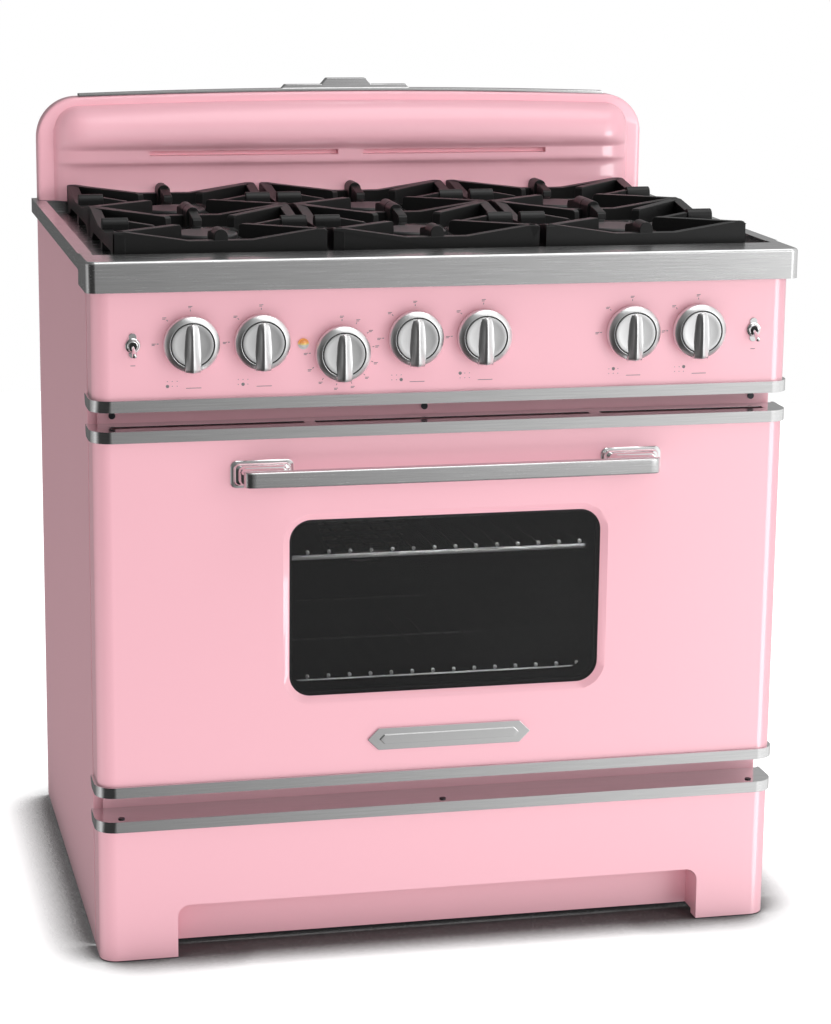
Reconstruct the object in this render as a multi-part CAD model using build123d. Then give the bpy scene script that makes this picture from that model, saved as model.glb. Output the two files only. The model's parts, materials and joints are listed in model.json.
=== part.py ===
from build123d import *
import math
import os

# Freestanding gas range with six burners, one oven, a retro rounded body and a backguard.
# Millimetres. +Z is up, the front faces -Y, and the origin is on the floor under the middle
# of the overall box (front of the handle to the back panel).

# ---------------------------------------------------------------- driving dimensions
BODY_W = 898.0              # painted body, side to side
RAIL_W = 914.0              # cooktop and front rail, side to side
BODY_D = 689.0              # front face of the painted panels to the back panel
HANDLE_REACH = 45.0         # handle stands this far in front of the panels
FRONT = -(BODY_D + HANDLE_REACH) / 2 + HANDLE_REACH
BACK = FRONT + BODY_D
HALF = BODY_W / 2
RAIL_HALF = RAIL_W / 2
SHEET = 1.5                 # sheet metal thickness
CORNER_R = 22.0             # rounded vertical front corners
WRAP = 62.0                 # how far the front parts run back along the sides
SIDE_START = 68.0           # side panels begin this far behind the front face
TRIM_PROUD = 4.0            # bright trims stand this far out of the paint
TAIL_R = 12.0               # their ends on the sides are rounded below
FACE_GAP = 0.3              # clearance between loose neighbours

# heights
KICK_TOP = 175.5
KICK_TRIM_TOP = 190.0
DOOR_BOTTOM = 221.5
DOOR_PAINT_BOTTOM = 235.5
DOOR_PAINT_TOP = 678.8
DOOR_TOP = 693.6
PANEL_TRIM_BOTTOM = 717.4
PANEL_BOTTOM = 732.1
RAIL_BOTTOM = 865.9
RAIL_TOP = 904.3
PAN_Z = 889.3               # top of the recessed cooktop pan
RECESS_DEPTH = 56.0         # recessed face between the trims

# oven
CAVITY_HALF = 365.0
CAVITY_Z0 = 268.0
CAVITY_Z1 = 652.0
CAVITY_FRONT = RECESS_DEPTH + SHEET
CAVITY_BACK = 530.0
PLATE = 2.0                 # enamelled liner plates
RACK_LEVELS = {"lower_rack": 340.0, "upper_rack": 506.0}

# door
HINGE_Y = FRONT + 34.0
HINGE_Z = 232.0
HINGE_X = 380.0
PIN_R = 4.0
RUNNING = 0.05              # radial clearance of pins and stems
WINDOW_HALF = 204.0
WINDOW_Z0 = 340.5
WINDOW_Z1 = 571.2
WINDOW_R = 28.0
WINDOW_BEVEL = 9.0

# controls: name -> (x, z)
KNOB_Z = 801.2
BURNER_KNOBS = {
    "knob_left_front": -328.6,
    "knob_left_rear": -240.6,
    "knob_center_front": -46.2,
    "knob_center_rear": 41.8,
    "knob_right_front": 236.8,
    "knob_right_rear": 324.7,
}
OVEN_KNOB = (-139.2, 784.7)
KNOB_R = 34.5
KNOB_BACK = 4.0             # gap between a knob's skirt and the panel
KNOB_DEPTH = 30.0
SWITCHES = {"light_lever": -400.0, "fan_lever": 400.0}
SWITCH_Z = 800.0
INDICATOR = (-188.0, 797.0)

# cooktop
PAN_HALF = 441.0
PAN_FRONT = 58.0
GRATE_W = 268.0
GRATE_GAP = 9.5
GRATE_Y0 = 78.0
GRATE_Y1 = 628.0
GRATE_BAR = 14.0
GRATE_TOP = 930.0
GRATE_LOW = 918.0
GRATE_UNDER = 901.0
FOOT_Z = PAN_Z + FACE_GAP   # underside of the grates' feet
FINGER_REACH = 48.0         # fingers stop this far from the burner centre
BURNER_R = 45.0

# backguard
GUARD_RIM_Y = FRONT + 655.0
GUARD_TOP = 1057.0
GUARD_ARCH = 6.5            # rise of the top edge from the corners to the middle
GUARD_R = 58.0
GUARD_INNER_HALF = 425.0
BROW_TOP = 1045.0
BROW_CORNER_R = 34.0
SLIT_Z = (968.5, 976.0)
SLIT_X = (19.0, 293.0)

# base
FOOT_STUD_R = 6.0
TOE_HALF = 350.0            # arch cut in the kick panel
TOE_TOP = 71.5
TOE_CORNER_R = 16.0
TOE_DEPTH = 46.0
TOE_RETURN = 21.0
TOE_BOARD_BOTTOM = 8.0

# supplies, fan and lamp
GAS_X = 300.0
GAS_Z = 110.0
GAS_NIPPLE_R = 10.5
POWER_X = -300.0
POWER_Z = 110.0
POWER_BORE_R = 6.0
FAN_Z = 450.0
LAMP_X = -260.0
LAMP_Z = 580.0


# ---------------------------------------------------------------- small helpers
def back(distance):
    """Y of a point this far behind the front face of the painted panels."""
    return FRONT + distance


GRATE_PITCH = GRATE_W + GRATE_GAP
CELL = (GRATE_Y1 - GRATE_Y0) / 2
FOOT_PLACES = [(x, back(y)) for x in (-395.0, 395.0) for y in (110.0, 640.0)]
BURNER_PLACES = [
    (column * GRATE_PITCH, back(GRATE_Y0 + CELL * (row + 0.5)))
    for column in (-1, 0, 1)
    for row in (0, 1)
]


def block(x0, x1, y0, y1, z0, z1):
    return Pos((x0 + x1) / 2, (y0 + y1) / 2, (z0 + z1) / 2) * Box(x1 - x0, y1 - y0, z1 - z0)


def bar_x(x0, x1, y, z, r):
    return Pos((x0 + x1) / 2, y, z) * Rot(0, 90, 0) * Cylinder(r, x1 - x0)


def bar_y(x, y0, y1, z, r):
    return Pos(x, (y0 + y1) / 2, z) * Rot(90, 0, 0) * Cylinder(r, y1 - y0)


def bar_z(x, y, z0, z1, r):
    return Pos(x, y, (z0 + z1) / 2) * Cylinder(r, z1 - z0)


def mirrored(shape):
    """The shape and its mirror image on the other side of the range."""
    return [shape, shape.mirror(Plane.YZ)]


def upright_slab(half_w, z0, z1, r, y0, y1):
    """Plate facing the front, with four rounded corners."""
    outline = RectangleRounded(2 * half_w, z1 - z0, r)
    plane = Plane(origin=(0, y1, (z0 + z1) / 2), x_dir=(1, 0, 0), z_dir=(0, -1, 0))
    return extrude(plane * outline, amount=y1 - y0)


def front_block(half_w, y0, y1, z0, z1, r):
    """Solid with its two vertical front edges rounded."""
    body = block(-half_w, half_w, y0, y1, z0, z1)
    return fillet(body.edges().filter_by(Axis.Z).group_by(Axis.Y)[0], r)


def front_shell(half_w, y0, y1, z0, z1, r, t):
    """Sheet that covers the front and wraps round both corners, open behind."""
    outer = front_block(half_w, y0, y1, z0, z1, r)
    inner = front_block(half_w - t, y0 + t, y1 + t, z0 - t, z1 + t, r - t)
    return outer - inner


def save(name, *solids):
    shape = solids[0] if len(solids) == 1 else Compound(children=list(solids))
    export_step(shape, f"parts/{name}.step")


# ---------------------------------------------------------------- body shell
def side_panel():
    """Right-hand side panel: a flat sheet with flanges turned in at the front and the back."""
    skin = block(HALF - SHEET, HALF, back(SIDE_START), BACK - SHEET, 2.0, 883.0)
    inner = HALF - SHEET
    front_flange = block(inner - 18.0, inner, back(SIDE_START), back(SIDE_START + SHEET), 62.0, 862.0)
    rear_flange = block(inner - 16.0, inner, BACK - 2 * SHEET, BACK - SHEET, 62.0, 880.0)
    return [skin, front_flange, rear_flange]


def back_panel():
    half = HALF - SHEET - FACE_GAP
    plate = block(-half, half, BACK - SHEET, BACK, 40.0, 901.8)
    gas_hole = bar_y(GAS_X, BACK - 10.0, BACK + 10.0, GAS_Z, 19.0)
    power_hole = bar_y(POWER_X, BACK - 10.0, BACK + 10.0, POWER_Z, 10.5)
    louvres = [
        block(-60.0, 60.0, BACK - 10.0, BACK + 10.0, 700.0 + 18.0 * row, 706.0 + 18.0 * row)
        for row in range(6)
    ]
    return plate - [gas_hole, power_hole, *louvres]


def base_pan():
    half = HALF - SHEET - FACE_GAP
    floor = block(-half, half, back(70.0), BACK - 4.0, 32.0, 34.0)
    front_lip = block(-half, half, back(70.0), back(72.0), 34.0, 60.0)
    rear_lip = block(-half, half, BACK - 6.0, BACK - 4.0, 34.0, 60.0)
    stud_holes = [bar_z(x, y, 20.0, 50.0, FOOT_STUD_R + 0.5) for x, y in FOOT_PLACES]
    return [floor - stud_holes, front_lip, rear_lip]


def levelling_foot(x, y):
    pad = bar_z(x, y, 0.0, 9.0, 19.0)
    pad = chamfer(pad.edges().group_by(Axis.Z)[-1], 2.0)
    hexagon = Pos(x, y, 20.0) * extrude(RegularPolygon(9.0, 6), amount=8.0)
    stud = bar_z(x, y, 9.0, 58.0, FOOT_STUD_R)
    nut = Pos(x, y, 34.2) * extrude(RegularPolygon(9.0, 6), amount=7.0)
    return pad + hexagon + stud + nut


def front_frame():
    """Four plates round the oven mouth; their upper and lower bands show as recesses."""
    half = 438.0
    y0, y1 = back(RECESS_DEPTH), back(CAVITY_FRONT)
    top = block(-half, half, y0, y1, CAVITY_Z1, 770.0)
    bottom = block(-half, half, y0, y1, 150.0, CAVITY_Z0)
    arm_slot = block(HINGE_X - 5.0, HINGE_X + 5.0, y0 - 1, y1 + 1, HINGE_Z - 9.0, HINGE_Z + 9.0)
    bottom = bottom - mirrored(arm_slot)
    post = block(CAVITY_HALF, half, y0, y1, CAVITY_Z0, CAVITY_Z1)
    return [top, bottom, *mirrored(post)]


def kick_panel():
    """Base panel: rounded ends that reach the floor and a toe recess under a low arch."""
    skin = front_shell(HALF, FRONT, back(WRAP), 1.5, KICK_TOP, CORNER_R, SHEET)
    arch = upright_slab(TOE_HALF, -60.0, TOE_TOP, TOE_CORNER_R, FRONT - 5.0, back(WRAP))
    skin = skin - arch
    pocket = upright_slab(TOE_HALF + SHEET, -60.0, TOE_TOP + SHEET, TOE_CORNER_R + SHEET,
                          back(SHEET), back(TOE_DEPTH + SHEET))
    hollow = upright_slab(TOE_HALF, -60.0, TOE_TOP, TOE_CORNER_R, FRONT, back(TOE_DEPTH))
    low_rear = block(-HALF, HALF, back(TOE_RETURN), back(WRAP + 5.0), -80.0, TOE_BOARD_BOTTOM)
    below_floor = block(-HALF, HALF, FRONT - 5.0, back(WRAP + 5.0), -80.0, 1.5)
    return skin + (pocket - hollow - low_rear - below_floor)


def wrapped_trim(z0, z1, leg_end):
    """Bright strip that wraps the front corners and ends in a rounded tail on each side."""
    strip = front_shell(HALF + TRIM_PROUD, FRONT - TRIM_PROUD, back(leg_end), z0, z1,
                        CORNER_R + TRIM_PROUD, TRIM_PROUD - 0.1)
    y_tail = back(leg_end) - TAIL_R
    tail_end = block(-HALF - 9.0, HALF + 9.0, y_tail, y_tail + TAIL_R + 1.0, z0 - 1.0, z0 + TAIL_R)
    return strip - (tail_end - bar_x(-HALF - 20.0, HALF + 20.0, y_tail, z0 + TAIL_R, TAIL_R))


def closing_plate(depth, z0):
    """Flat sheet that closes a trim from its strip back to some depth."""
    return front_block(HALF + 1.0, FRONT - 1.0, back(depth), z0, z0 + SHEET, CORNER_R + 1.0)


def panel_trim():
    """Bright strip under the control panel with the panel's closing plate."""
    strip = wrapped_trim(PANEL_TRIM_BOTTOM, PANEL_BOTTOM, WRAP)
    return strip + closing_plate(RECESS_DEPTH - 0.5, PANEL_BOTTOM - SHEET)


def kick_trim():
    """Bright cap on the base panel: wrapped strip with a flat shelf behind it."""
    strip = wrapped_trim(KICK_TOP, KICK_TRIM_TOP, WRAP - 4.0)
    return strip + closing_plate(RECESS_DEPTH - 0.5, KICK_TRIM_TOP - SHEET)


# ---------------------------------------------------------------- door
def window_outline(grow, depth):
    """Rounded window outline, grown by some millimetres, on a plane behind the front."""
    plane = Plane(origin=(0, back(depth), (WINDOW_Z0 + WINDOW_Z1) / 2),
                  x_dir=(1, 0, 0), z_dir=(0, -1, 0))
    outline = RectangleRounded(2 * (WINDOW_HALF + grow), WINDOW_Z1 - WINDOW_Z0 + 2 * grow,
                               WINDOW_R + grow)
    return plane * outline


def door_shell():
    """Painted outer skin with a bevelled, pressed window surround."""
    skin = front_shell(HALF, FRONT, back(WRAP), DOOR_PAINT_BOTTOM, DOOR_PAINT_TOP,
                       CORNER_R, SHEET)
    surround = extrude(window_outline(WINDOW_BEVEL + 12.0, 6.0), amount=6.0)
    cutter = loft([window_outline(WINDOW_BEVEL + 1.5, -1.0), window_outline(0.0, 6.0)])
    through = extrude(window_outline(0.0, 7.0), amount=2.0)
    return skin + surround - cutter - through


def door_panes():
    outer = upright_slab(WINDOW_HALF + 18.0, WINDOW_Z0 - 18.0, WINDOW_Z1 + 18.0, 30.0,
                         back(6.2), back(10.2))
    inner = upright_slab(WINDOW_HALF + 4.0, WINDOW_Z0 - 4.0, WINDOW_Z1 + 4.0, 20.0,
                         back(44.5), back(48.5))
    return [outer, inner]


def door_liner():
    """Inner panel with a window, a raised rim round it, and notches for the hinge arms."""
    half = HALF - SHEET - 0.2
    plate = block(-half, half, back(50.0), back(51.5), DOOR_PAINT_BOTTOM + 1.5, 677.0)
    rim = upright_slab(WINDOW_HALF + 12.0, WINDOW_Z0 - 12.0, WINDOW_Z1 + 12.0, 24.0,
                       back(48.6), back(53.5))
    opening = upright_slab(WINDOW_HALF - 6.0, WINDOW_Z0 + 6.0, WINDOW_Z1 - 6.0, 20.0,
                           back(40.0), back(60.0))
    notch = block(HINGE_X - 8.0, HINGE_X + 8.0, back(45.0), back(55.0), 220.0, HINGE_Z + 14.0)
    return plate + rim - [opening, *mirrored(notch)]


def door_top_trim():
    """Bright cap of the door: wrapped strip, flat top with three long vent slots."""
    strip = wrapped_trim(DOOR_PAINT_TOP, DOOR_TOP, WRAP - 4.0)
    top = closing_plate(54.0, DOOR_TOP - SHEET)
    slots = [
        block(x0, x1, back(16.0), back(30.0), DOOR_TOP - 5.0, DOOR_TOP + 5.0)
        for x0, x1 in ((-425.0, -182.0), (-168.0, 190.0), (205.0, 425.0))
    ]
    return strip + (top - slots)


def door_bottom_trim():
    """Bright strip under the door with a closing plate, slotted for the hinge arms."""
    strip = wrapped_trim(DOOR_BOTTOM, DOOR_PAINT_BOTTOM, WRAP - 4.0)
    plate = closing_plate(51.0, DOOR_BOTTOM)
    slot = block(HINGE_X - 6.0, HINGE_X + 6.0, back(22.0), back(60.0), 215.0, 230.0)
    return strip + (plate - mirrored(slot))


def handle_mount():
    """Right-hand handle mount: a rounded plate that tapers forward to the bar."""
    plate = Plane(origin=(240.0, FRONT, 634.5), x_dir=(1, 0, 0), z_dir=(0, -1, 0))
    tip = Plane(origin=(237.0, FRONT - 30.0, 634.5), x_dir=(1, 0, 0), z_dir=(0, -1, 0))
    foot = extrude(plate * RectangleRounded(80.0, 35.0, 8.0), amount=4.0)
    raised = Plane(origin=(240.0, FRONT - 4.0, 634.5), x_dir=(1, 0, 0), z_dir=(0, -1, 0))
    neck = loft([raised * RectangleRounded(74.0, 30.0, 8.0), tip * RectangleRounded(62.0, 21.0, 8.0)])
    return foot + neck


def handle_bar():
    """Flat-faced bar, slightly crowned, with rounded ends."""
    bar = block(-268.0, 268.0, FRONT - HANDLE_REACH, FRONT - 30.0, 624.5, 644.5)
    bar = fillet(bar.edges().filter_by(Axis.Z).group_by(Axis.Y)[0], 9.0)
    return fillet(bar.edges().filter_by(Axis.X).group_by(Axis.Y)[0], 3.5)


def door_ornament():
    """Plain stepped bright ornament above the bottom trim."""
    def hexagon(half_len, half_h, y_back, thick):
        points = [(-half_len, 0), (-half_len + half_h, half_h), (half_len - half_h, half_h),
                  (half_len, 0), (half_len - half_h, -half_h), (-half_len + half_h, -half_h)]
        plane = Plane(origin=(5.0, y_back, 279.5), x_dir=(1, 0, 0), z_dir=(0, -1, 0))
        return extrude(plane * make_face(Polyline(*points, close=True)), amount=thick)
    base = hexagon(108.0, 14.5, FRONT, 2.5)
    rib = hexagon(92.0, 6.0, FRONT - 2.5, 2.5)
    return base + rib


def door_hinge_bracket():
    """Right-hand bracket inside the door: two ears with a bore each, joined by a web."""
    ears = [
        block(x, x + 4.0, back(14.0), back(49.6), DOOR_BOTTOM + 2.5, 300.0)
        for x in (HINGE_X - 12.0, HINGE_X + 8.0)
    ]
    web = block(HINGE_X - 12.0, HINGE_X + 12.0, back(12.0), back(14.0), DOOR_BOTTOM + 2.5, 300.0)
    bore = bar_x(HINGE_X - 20.0, HINGE_X + 20.0, HINGE_Y, HINGE_Z, PIN_R + RUNNING)
    return ears[0] + ears[1] + web - bore


def hinge_arm():
    """Right-hand arm fixed behind the front frame, carrying the hinge pin."""
    arm = block(HINGE_X - 3.0, HINGE_X + 3.0, HINGE_Y - 7.0, back(110.0),
                HINGE_Z - 7.0, HINGE_Z + 7.0)
    web = block(HINGE_X - 3.0, HINGE_X + 3.0, back(60.0), back(110.0), 200.0, 262.0)
    flange = block(HINGE_X - 14.0, HINGE_X + 14.0, back(CAVITY_FRONT), back(60.0), 200.0, 262.0)
    pin = bar_x(HINGE_X - 14.0, HINGE_X + 14.0, HINGE_Y, HINGE_Z, PIN_R)
    return arm + web + flange + pin


# ---------------------------------------------------------------- oven
def rack_ledges(x0, x1):
    """Pairs of embossed ledges that carry the racks at five heights."""
    ledges = []
    for level in range(5):
        z = RACK_LEVELS["lower_rack"] + 55.33 * level
        ledges.append(block(x0, x1, back(75.0), back(515.0), z - 11.0, z - 5.1))
    return ledges


def oven_liner():
    """Five enamelled plates that meet edge to edge."""
    outer = CAVITY_HALF + PLATE
    y0, y1 = back(CAVITY_FRONT), back(CAVITY_BACK)
    floor = block(-outer, outer, y0, y1 + PLATE, CAVITY_Z0 - PLATE, CAVITY_Z0)
    ceiling = block(-outer, outer, y0, y1 + PLATE, CAVITY_Z1, CAVITY_Z1 + PLATE)
    shaft_hole = bar_y(0.0, y1 - 5.0, y1 + 10.0, FAN_Z, 8.0)
    lamp_hole = bar_y(LAMP_X, y1 - 5.0, y1 + 10.0, LAMP_Z, 16.5)
    rear = block(-outer, outer, y1, y1 + PLATE, CAVITY_Z0, CAVITY_Z1) - [shaft_hole, lamp_hole]
    wall = block(CAVITY_HALF, outer, y0, y1, CAVITY_Z0, CAVITY_Z1)
    for ledge in rack_ledges(CAVITY_HALF - 9.0, CAVITY_HALF):
        wall = wall + ledge
    return [floor, ceiling, rear, *mirrored(wall)]


def oven_rack(level):
    """Welded wire rack: a rod frame and long wires from front to back."""
    z = RACK_LEVELS[level]
    y0, y1 = back(72.0), back(478.0)
    half = 360.0
    rods = [bar_x(-half - 3.4, half + 3.4, y, z, 3.5) for y in (y0, y1)]
    rods.append(bar_x(-half, half, (y0 + y1) / 2, z - 2.2, 2.5))
    rods += [bar_y(x, y0, y1, z, 3.0) for x in (-half, half)]
    rods += [bar_y(28.0 * n, y0, y1, z, 2.0) for n in range(-12, 13)]
    return rods[0] + rods[1:]


def bake_burner():
    """Gas tube under the oven floor: two legs, a bridge and a feed that meet end to side."""
    z, r = 248.0, 8.0
    y0, y1 = back(130.0), back(480.0)
    legs = [bar_y(x, y0, y1 - r, z, r) + Pos(x, y0, z) * Sphere(r) for x in (-150.0, 150.0)]
    bridge = bar_x(-158.0, 158.0, y1, z, r)
    feed = bar_y(0.0, y1 + r, y1 + 80.0, z, r)
    return [*legs, bridge, feed]


def broil_burner():
    """Infrared burner box under the oven ceiling with a ribbed face."""
    box = block(-150.0, 150.0, back(140.0), back(420.0), 628.0, CAVITY_Z1 - FACE_GAP)
    grooves = [
        block(-135.0, 135.0, back(150.0 + 22.0 * row), back(162.0 + 22.0 * row), 625.0, 632.0)
        for row in range(12)
    ]
    return box - grooves


def fan_motor():
    """Motor behind the oven's back wall with its shaft through the wall."""
    can = bar_y(0.0, back(CAVITY_BACK + 6.0), back(CAVITY_BACK + 52.0), FAN_Z, 38.0)
    shaft = bar_y(0.0, back(CAVITY_BACK - 24.0), back(CAVITY_BACK + 6.0), FAN_Z, PIN_R)
    return can + shaft


def fan_wheel():
    """Convection wheel: a disc on a bored hub with ten radial blades."""
    y_disc = back(CAVITY_BACK - 7.0)
    disc = bar_y(0.0, y_disc, y_disc + 1.5, FAN_Z, 66.0)
    hub = bar_y(0.0, y_disc - 13.0, y_disc, FAN_Z, 10.0)
    wheel = disc + hub
    blade = block(28.0, 65.0, y_disc - 12.0, y_disc, -0.8, 0.8)
    for index in range(10):
        wheel = wheel + Pos(0, 0, FAN_Z) * Rot(0, 36.0 * index, 0) * blade
    return wheel - bar_y(0.0, y_disc - 30.0, y_disc + 5.0, FAN_Z, PIN_R + RUNNING)


def fan_cover():
    """Shallow round cover over the fan with a grille of slots."""
    y0, y1 = back(CAVITY_BACK - 30.0), back(CAVITY_BACK)
    cover = bar_y(0.0, y0, y1, FAN_Z, 92.0) - bar_y(0.0, y0 + SHEET, y1 + 1, FAN_Z, 90.5)
    slots = []
    for row in range(-6, 7):
        half = math.sqrt(78.0 ** 2 - (12.0 * row) ** 2) if abs(row) < 6 else 28.0
        slots.append(block(-half, half, y0 - 5.0, y0 + 5.0,
                           FAN_Z + 12.0 * row - 3.0, FAN_Z + 12.0 * row + 3.0))
    return cover - slots


def oven_lamp():
    """Lamp holder behind the wall and a glass dome inside the oven."""
    holder = bar_y(LAMP_X, back(CAVITY_BACK), back(CAVITY_BACK + 45.0), LAMP_Z, 16.0)
    flange = bar_y(LAMP_X, back(CAVITY_BACK - 2.5), back(CAVITY_BACK), LAMP_Z, 24.0)
    dome = Pos(LAMP_X, back(CAVITY_BACK - 2.5), LAMP_Z) * Sphere(19.0)
    dome = dome - block(LAMP_X - 30, LAMP_X + 30, back(CAVITY_BACK - 2.5), back(CAVITY_BACK + 40),
                        LAMP_Z - 30, LAMP_Z + 30)
    return holder + flange + dome


def oven_insulation():
    """Mineral wool slabs round the liner."""
    y0, y1 = back(62.0), back(CAVITY_BACK + PLATE)
    inner = CAVITY_HALF + PLATE
    side = block(inner, inner + 60.0, y0, y1, 275.0, CAVITY_Z1 + PLATE)
    top = block(-inner - 60.0, inner + 60.0, y0, y1, CAVITY_Z1 + PLATE, CAVITY_Z1 + 40.0)
    rear = block(-inner, inner, y1, y1 + 38.0, 275.0, CAVITY_Z1 + PLATE)
    rear = rear - bar_y(0.0, y1 - 5.0, y1 + 60.0, FAN_Z, 42.0)
    rear = rear - bar_y(LAMP_X, y1 - 5.0, y1 + 60.0, LAMP_Z, 18.0)
    return [*mirrored(side), top, rear]


# ---------------------------------------------------------------- cooktop
def front_rail():
    """Hollow bullnose rail across the front, wrapping both corners."""
    y0, y1 = FRONT - 8.0, back(SIDE_START + 8.0)
    outer = front_block(RAIL_HALF, y0, y1, RAIL_BOTTOM, RAIL_TOP, 12.0)
    outer = fillet(outer.edges().group_by(Axis.Z)[-1].group_by(Axis.Y)[0], 4.0)
    inner = front_block(RAIL_HALF - 2.0, y0 + 2.0, y1 + 1.0, RAIL_BOTTOM + 2.0, RAIL_TOP - 2.0, 10.0)
    body_slot = front_block(HALF + FACE_GAP, FRONT - FACE_GAP, y1 + 1.0, RAIL_BOTTOM - 1.0,
                            RAIL_BOTTOM + 3.0, CORNER_R)
    pan_cut = block(-PAN_HALF, PAN_HALF, back(PAN_FRONT), y1 + 1.0, RAIL_TOP - 5.0, RAIL_TOP + 5.0)
    return outer - [inner, body_slot, pan_cut]


def cooktop():
    """Recessed pan with side rims and lips that hang over the body."""
    y0, y1 = back(PAN_FRONT), BACK - 40.0
    y_rim = back(SIDE_START + 8.0 + FACE_GAP)
    floor = block(-PAN_HALF, PAN_HALF, y0, y1, PAN_Z - SHEET, PAN_Z)
    front_wall = block(-PAN_HALF, PAN_HALF, y0, y0 + SHEET, PAN_Z, RAIL_TOP - 2.2)
    rear_wall = block(-PAN_HALF, PAN_HALF, y1 - SHEET, y1, PAN_Z, RAIL_TOP)
    side_wall = block(PAN_HALF - SHEET, PAN_HALF, y0, y1, PAN_Z, RAIL_TOP - 2.2)
    side_rim = block(PAN_HALF - SHEET, RAIL_HALF, y_rim, BACK - 1.0, RAIL_TOP - 2.0, RAIL_TOP)
    side_lip = block(RAIL_HALF - SHEET, RAIL_HALF, y_rim, BACK - 1.0, RAIL_TOP - 20.0, RAIL_TOP)
    inner_step = block(PAN_HALF - SHEET, PAN_HALF, y_rim, y1, PAN_Z, RAIL_TOP)
    rear_deck = block(-PAN_HALF, PAN_HALF, y1 - SHEET, BACK - 1.0, RAIL_TOP - 2.0, RAIL_TOP)
    top = floor + front_wall + rear_wall + rear_deck
    for piece in (side_wall, side_rim, side_lip, inner_step):
        top = top + mirrored(piece)
    wells = [bar_z(x, y, PAN_Z - 10.0, PAN_Z + 10.0, 30.0) for x, y in BURNER_PLACES]
    return top - wells


def burner_head(x, y):
    """Aluminium burner: venturi below the pan, flange on it and a ported ring on top."""
    venturi = bar_z(x, y, 850.0, PAN_Z, 28.0)
    flange = bar_z(x, y, PAN_Z, PAN_Z + 3.0, BURNER_R)
    ring = bar_z(x, y, PAN_Z + 3.0, PAN_Z + 14.0, BURNER_R - 5.0)
    head = venturi + flange + ring
    ports = [
        Pos(x, y, PAN_Z + 11.0) * Rot(0, 0, 15.0 * index) * Pos(BURNER_R - 5.0, 0, 0) * Box(8.0, 2.2, 4.0)
        for index in range(24)
    ]
    return head - ports


def spark_electrode(x, y):
    """Ceramic electrode that stands beside a burner head."""
    body = bar_z(x, y, PAN_Z, PAN_Z + 15.0, 3.2)
    return body + bar_z(x, y, PAN_Z + 15.0, PAN_Z + 18.0, 1.2)


def burner_cap(x, y):
    """Enamelled cap with a rounded rim."""
    cap = bar_z(x, y, PAN_Z + 14.0, PAN_Z + 21.0, BURNER_R - 2.0)
    return fillet(cap.edges().group_by(Axis.Z)[-1], 4.0)


def bar_profile(length):
    """Side view of one grate bar over two cells' ends: raised corners, low middle, feet."""
    half = length / 2
    corner = 30.0
    points = [
        (-half, GRATE_TOP - 3.0),
        (-half + 3.0, GRATE_TOP),
        (-half + corner, GRATE_TOP - 3.0),
        (-half * 0.35, GRATE_LOW),
        (half * 0.35, GRATE_LOW),
        (half - corner, GRATE_TOP - 3.0),
        (half - 3.0, GRATE_TOP),
        (half, GRATE_TOP - 3.0),
        (half, FOOT_Z),
        (half - 24.0, FOOT_Z),
        (half - 40.0, GRATE_UNDER),
        (11.0, GRATE_UNDER),
        (11.0, FOOT_Z),
        (-11.0, FOOT_Z),
        (-11.0, GRATE_UNDER),
        (-half + 40.0, GRATE_UNDER),
        (-half + 24.0, FOOT_Z),
        (-half, FOOT_Z),
    ]
    return make_face(Polyline(*points, close=True))


def grate_bar_x(x_mid, y, length):
    plane = Plane(origin=(x_mid, y + GRATE_BAR / 2, 0), x_dir=(1, 0, 0), z_dir=(0, -1, 0))
    return extrude(plane * bar_profile(length), amount=GRATE_BAR)


def grate_bar_y(x, y_mid, length):
    plane = Plane(origin=(x - GRATE_BAR / 2, y_mid, 0), x_dir=(0, 1, 0), z_dir=(1, 0, 0))
    return extrude(plane * bar_profile(length), amount=GRATE_BAR)


def finger(x, y, angle, reach_out, top):
    """One finger that points at the burner centre, from the frame to near the burner."""
    length = reach_out - FINGER_REACH
    mid = FINGER_REACH + length / 2
    rib = Pos(mid, 0, (top + 912.0) / 2) * Box(length, 11.0, top - 912.0)
    rib = chamfer(rib.edges().filter_by(Axis.X).group_by(Axis.Z)[-1], 2.0)
    return Pos(x, y, 0) * Rot(0, 0, angle) * rib


def lug(x, y, angle, distance):
    """Round-topped lug where a straight finger meets the middle of a frame bar."""
    body = Pos(distance, 0, 921.0) * Box(26.0, 17.0, 20.0)
    body = fillet(body.edges().filter_by(Axis.X).group_by(Axis.Z)[-1], 7.0)
    return Pos(x, y, 0) * Rot(0, 0, angle) * body


def grate(x_mid):
    """Cast-iron grate over a front and a rear burner."""
    half_w = GRATE_W / 2 - GRATE_BAR / 2
    cell = (GRATE_Y1 - GRATE_Y0) / 2
    iron = None
    for y in (GRATE_Y0 + GRATE_BAR / 2, (GRATE_Y0 + GRATE_Y1) / 2, GRATE_Y1 - GRATE_BAR / 2):
        bar = grate_bar_x(x_mid, back(y), GRATE_W)
        iron = bar if iron is None else iron + bar
    for row in (0, 1):
        y_mid = back(GRATE_Y0 + cell * (row + 0.5))
        for side in (-1, 1):
            iron = iron + grate_bar_y(x_mid + side * half_w, y_mid, cell)
        for quarter in range(4):
            diagonal = math.degrees(math.atan2(cell / 2 - 7.0, half_w))
            angle = (diagonal, 180 - diagonal, 180 + diagonal, -diagonal)[quarter]
            reach_out = math.hypot(cell / 2 - 7.0, half_w)
            iron = iron + finger(x_mid, y_mid, angle, reach_out, GRATE_TOP - 1.0)
            straight = half_w if quarter % 2 == 0 else cell / 2 - 7.0
            iron = iron + finger(x_mid, y_mid, 90.0 * quarter, straight, GRATE_TOP - 1.0)
            iron = iron + lug(x_mid, y_mid, 90.0 * quarter, straight - 6.0)
    return iron


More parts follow.
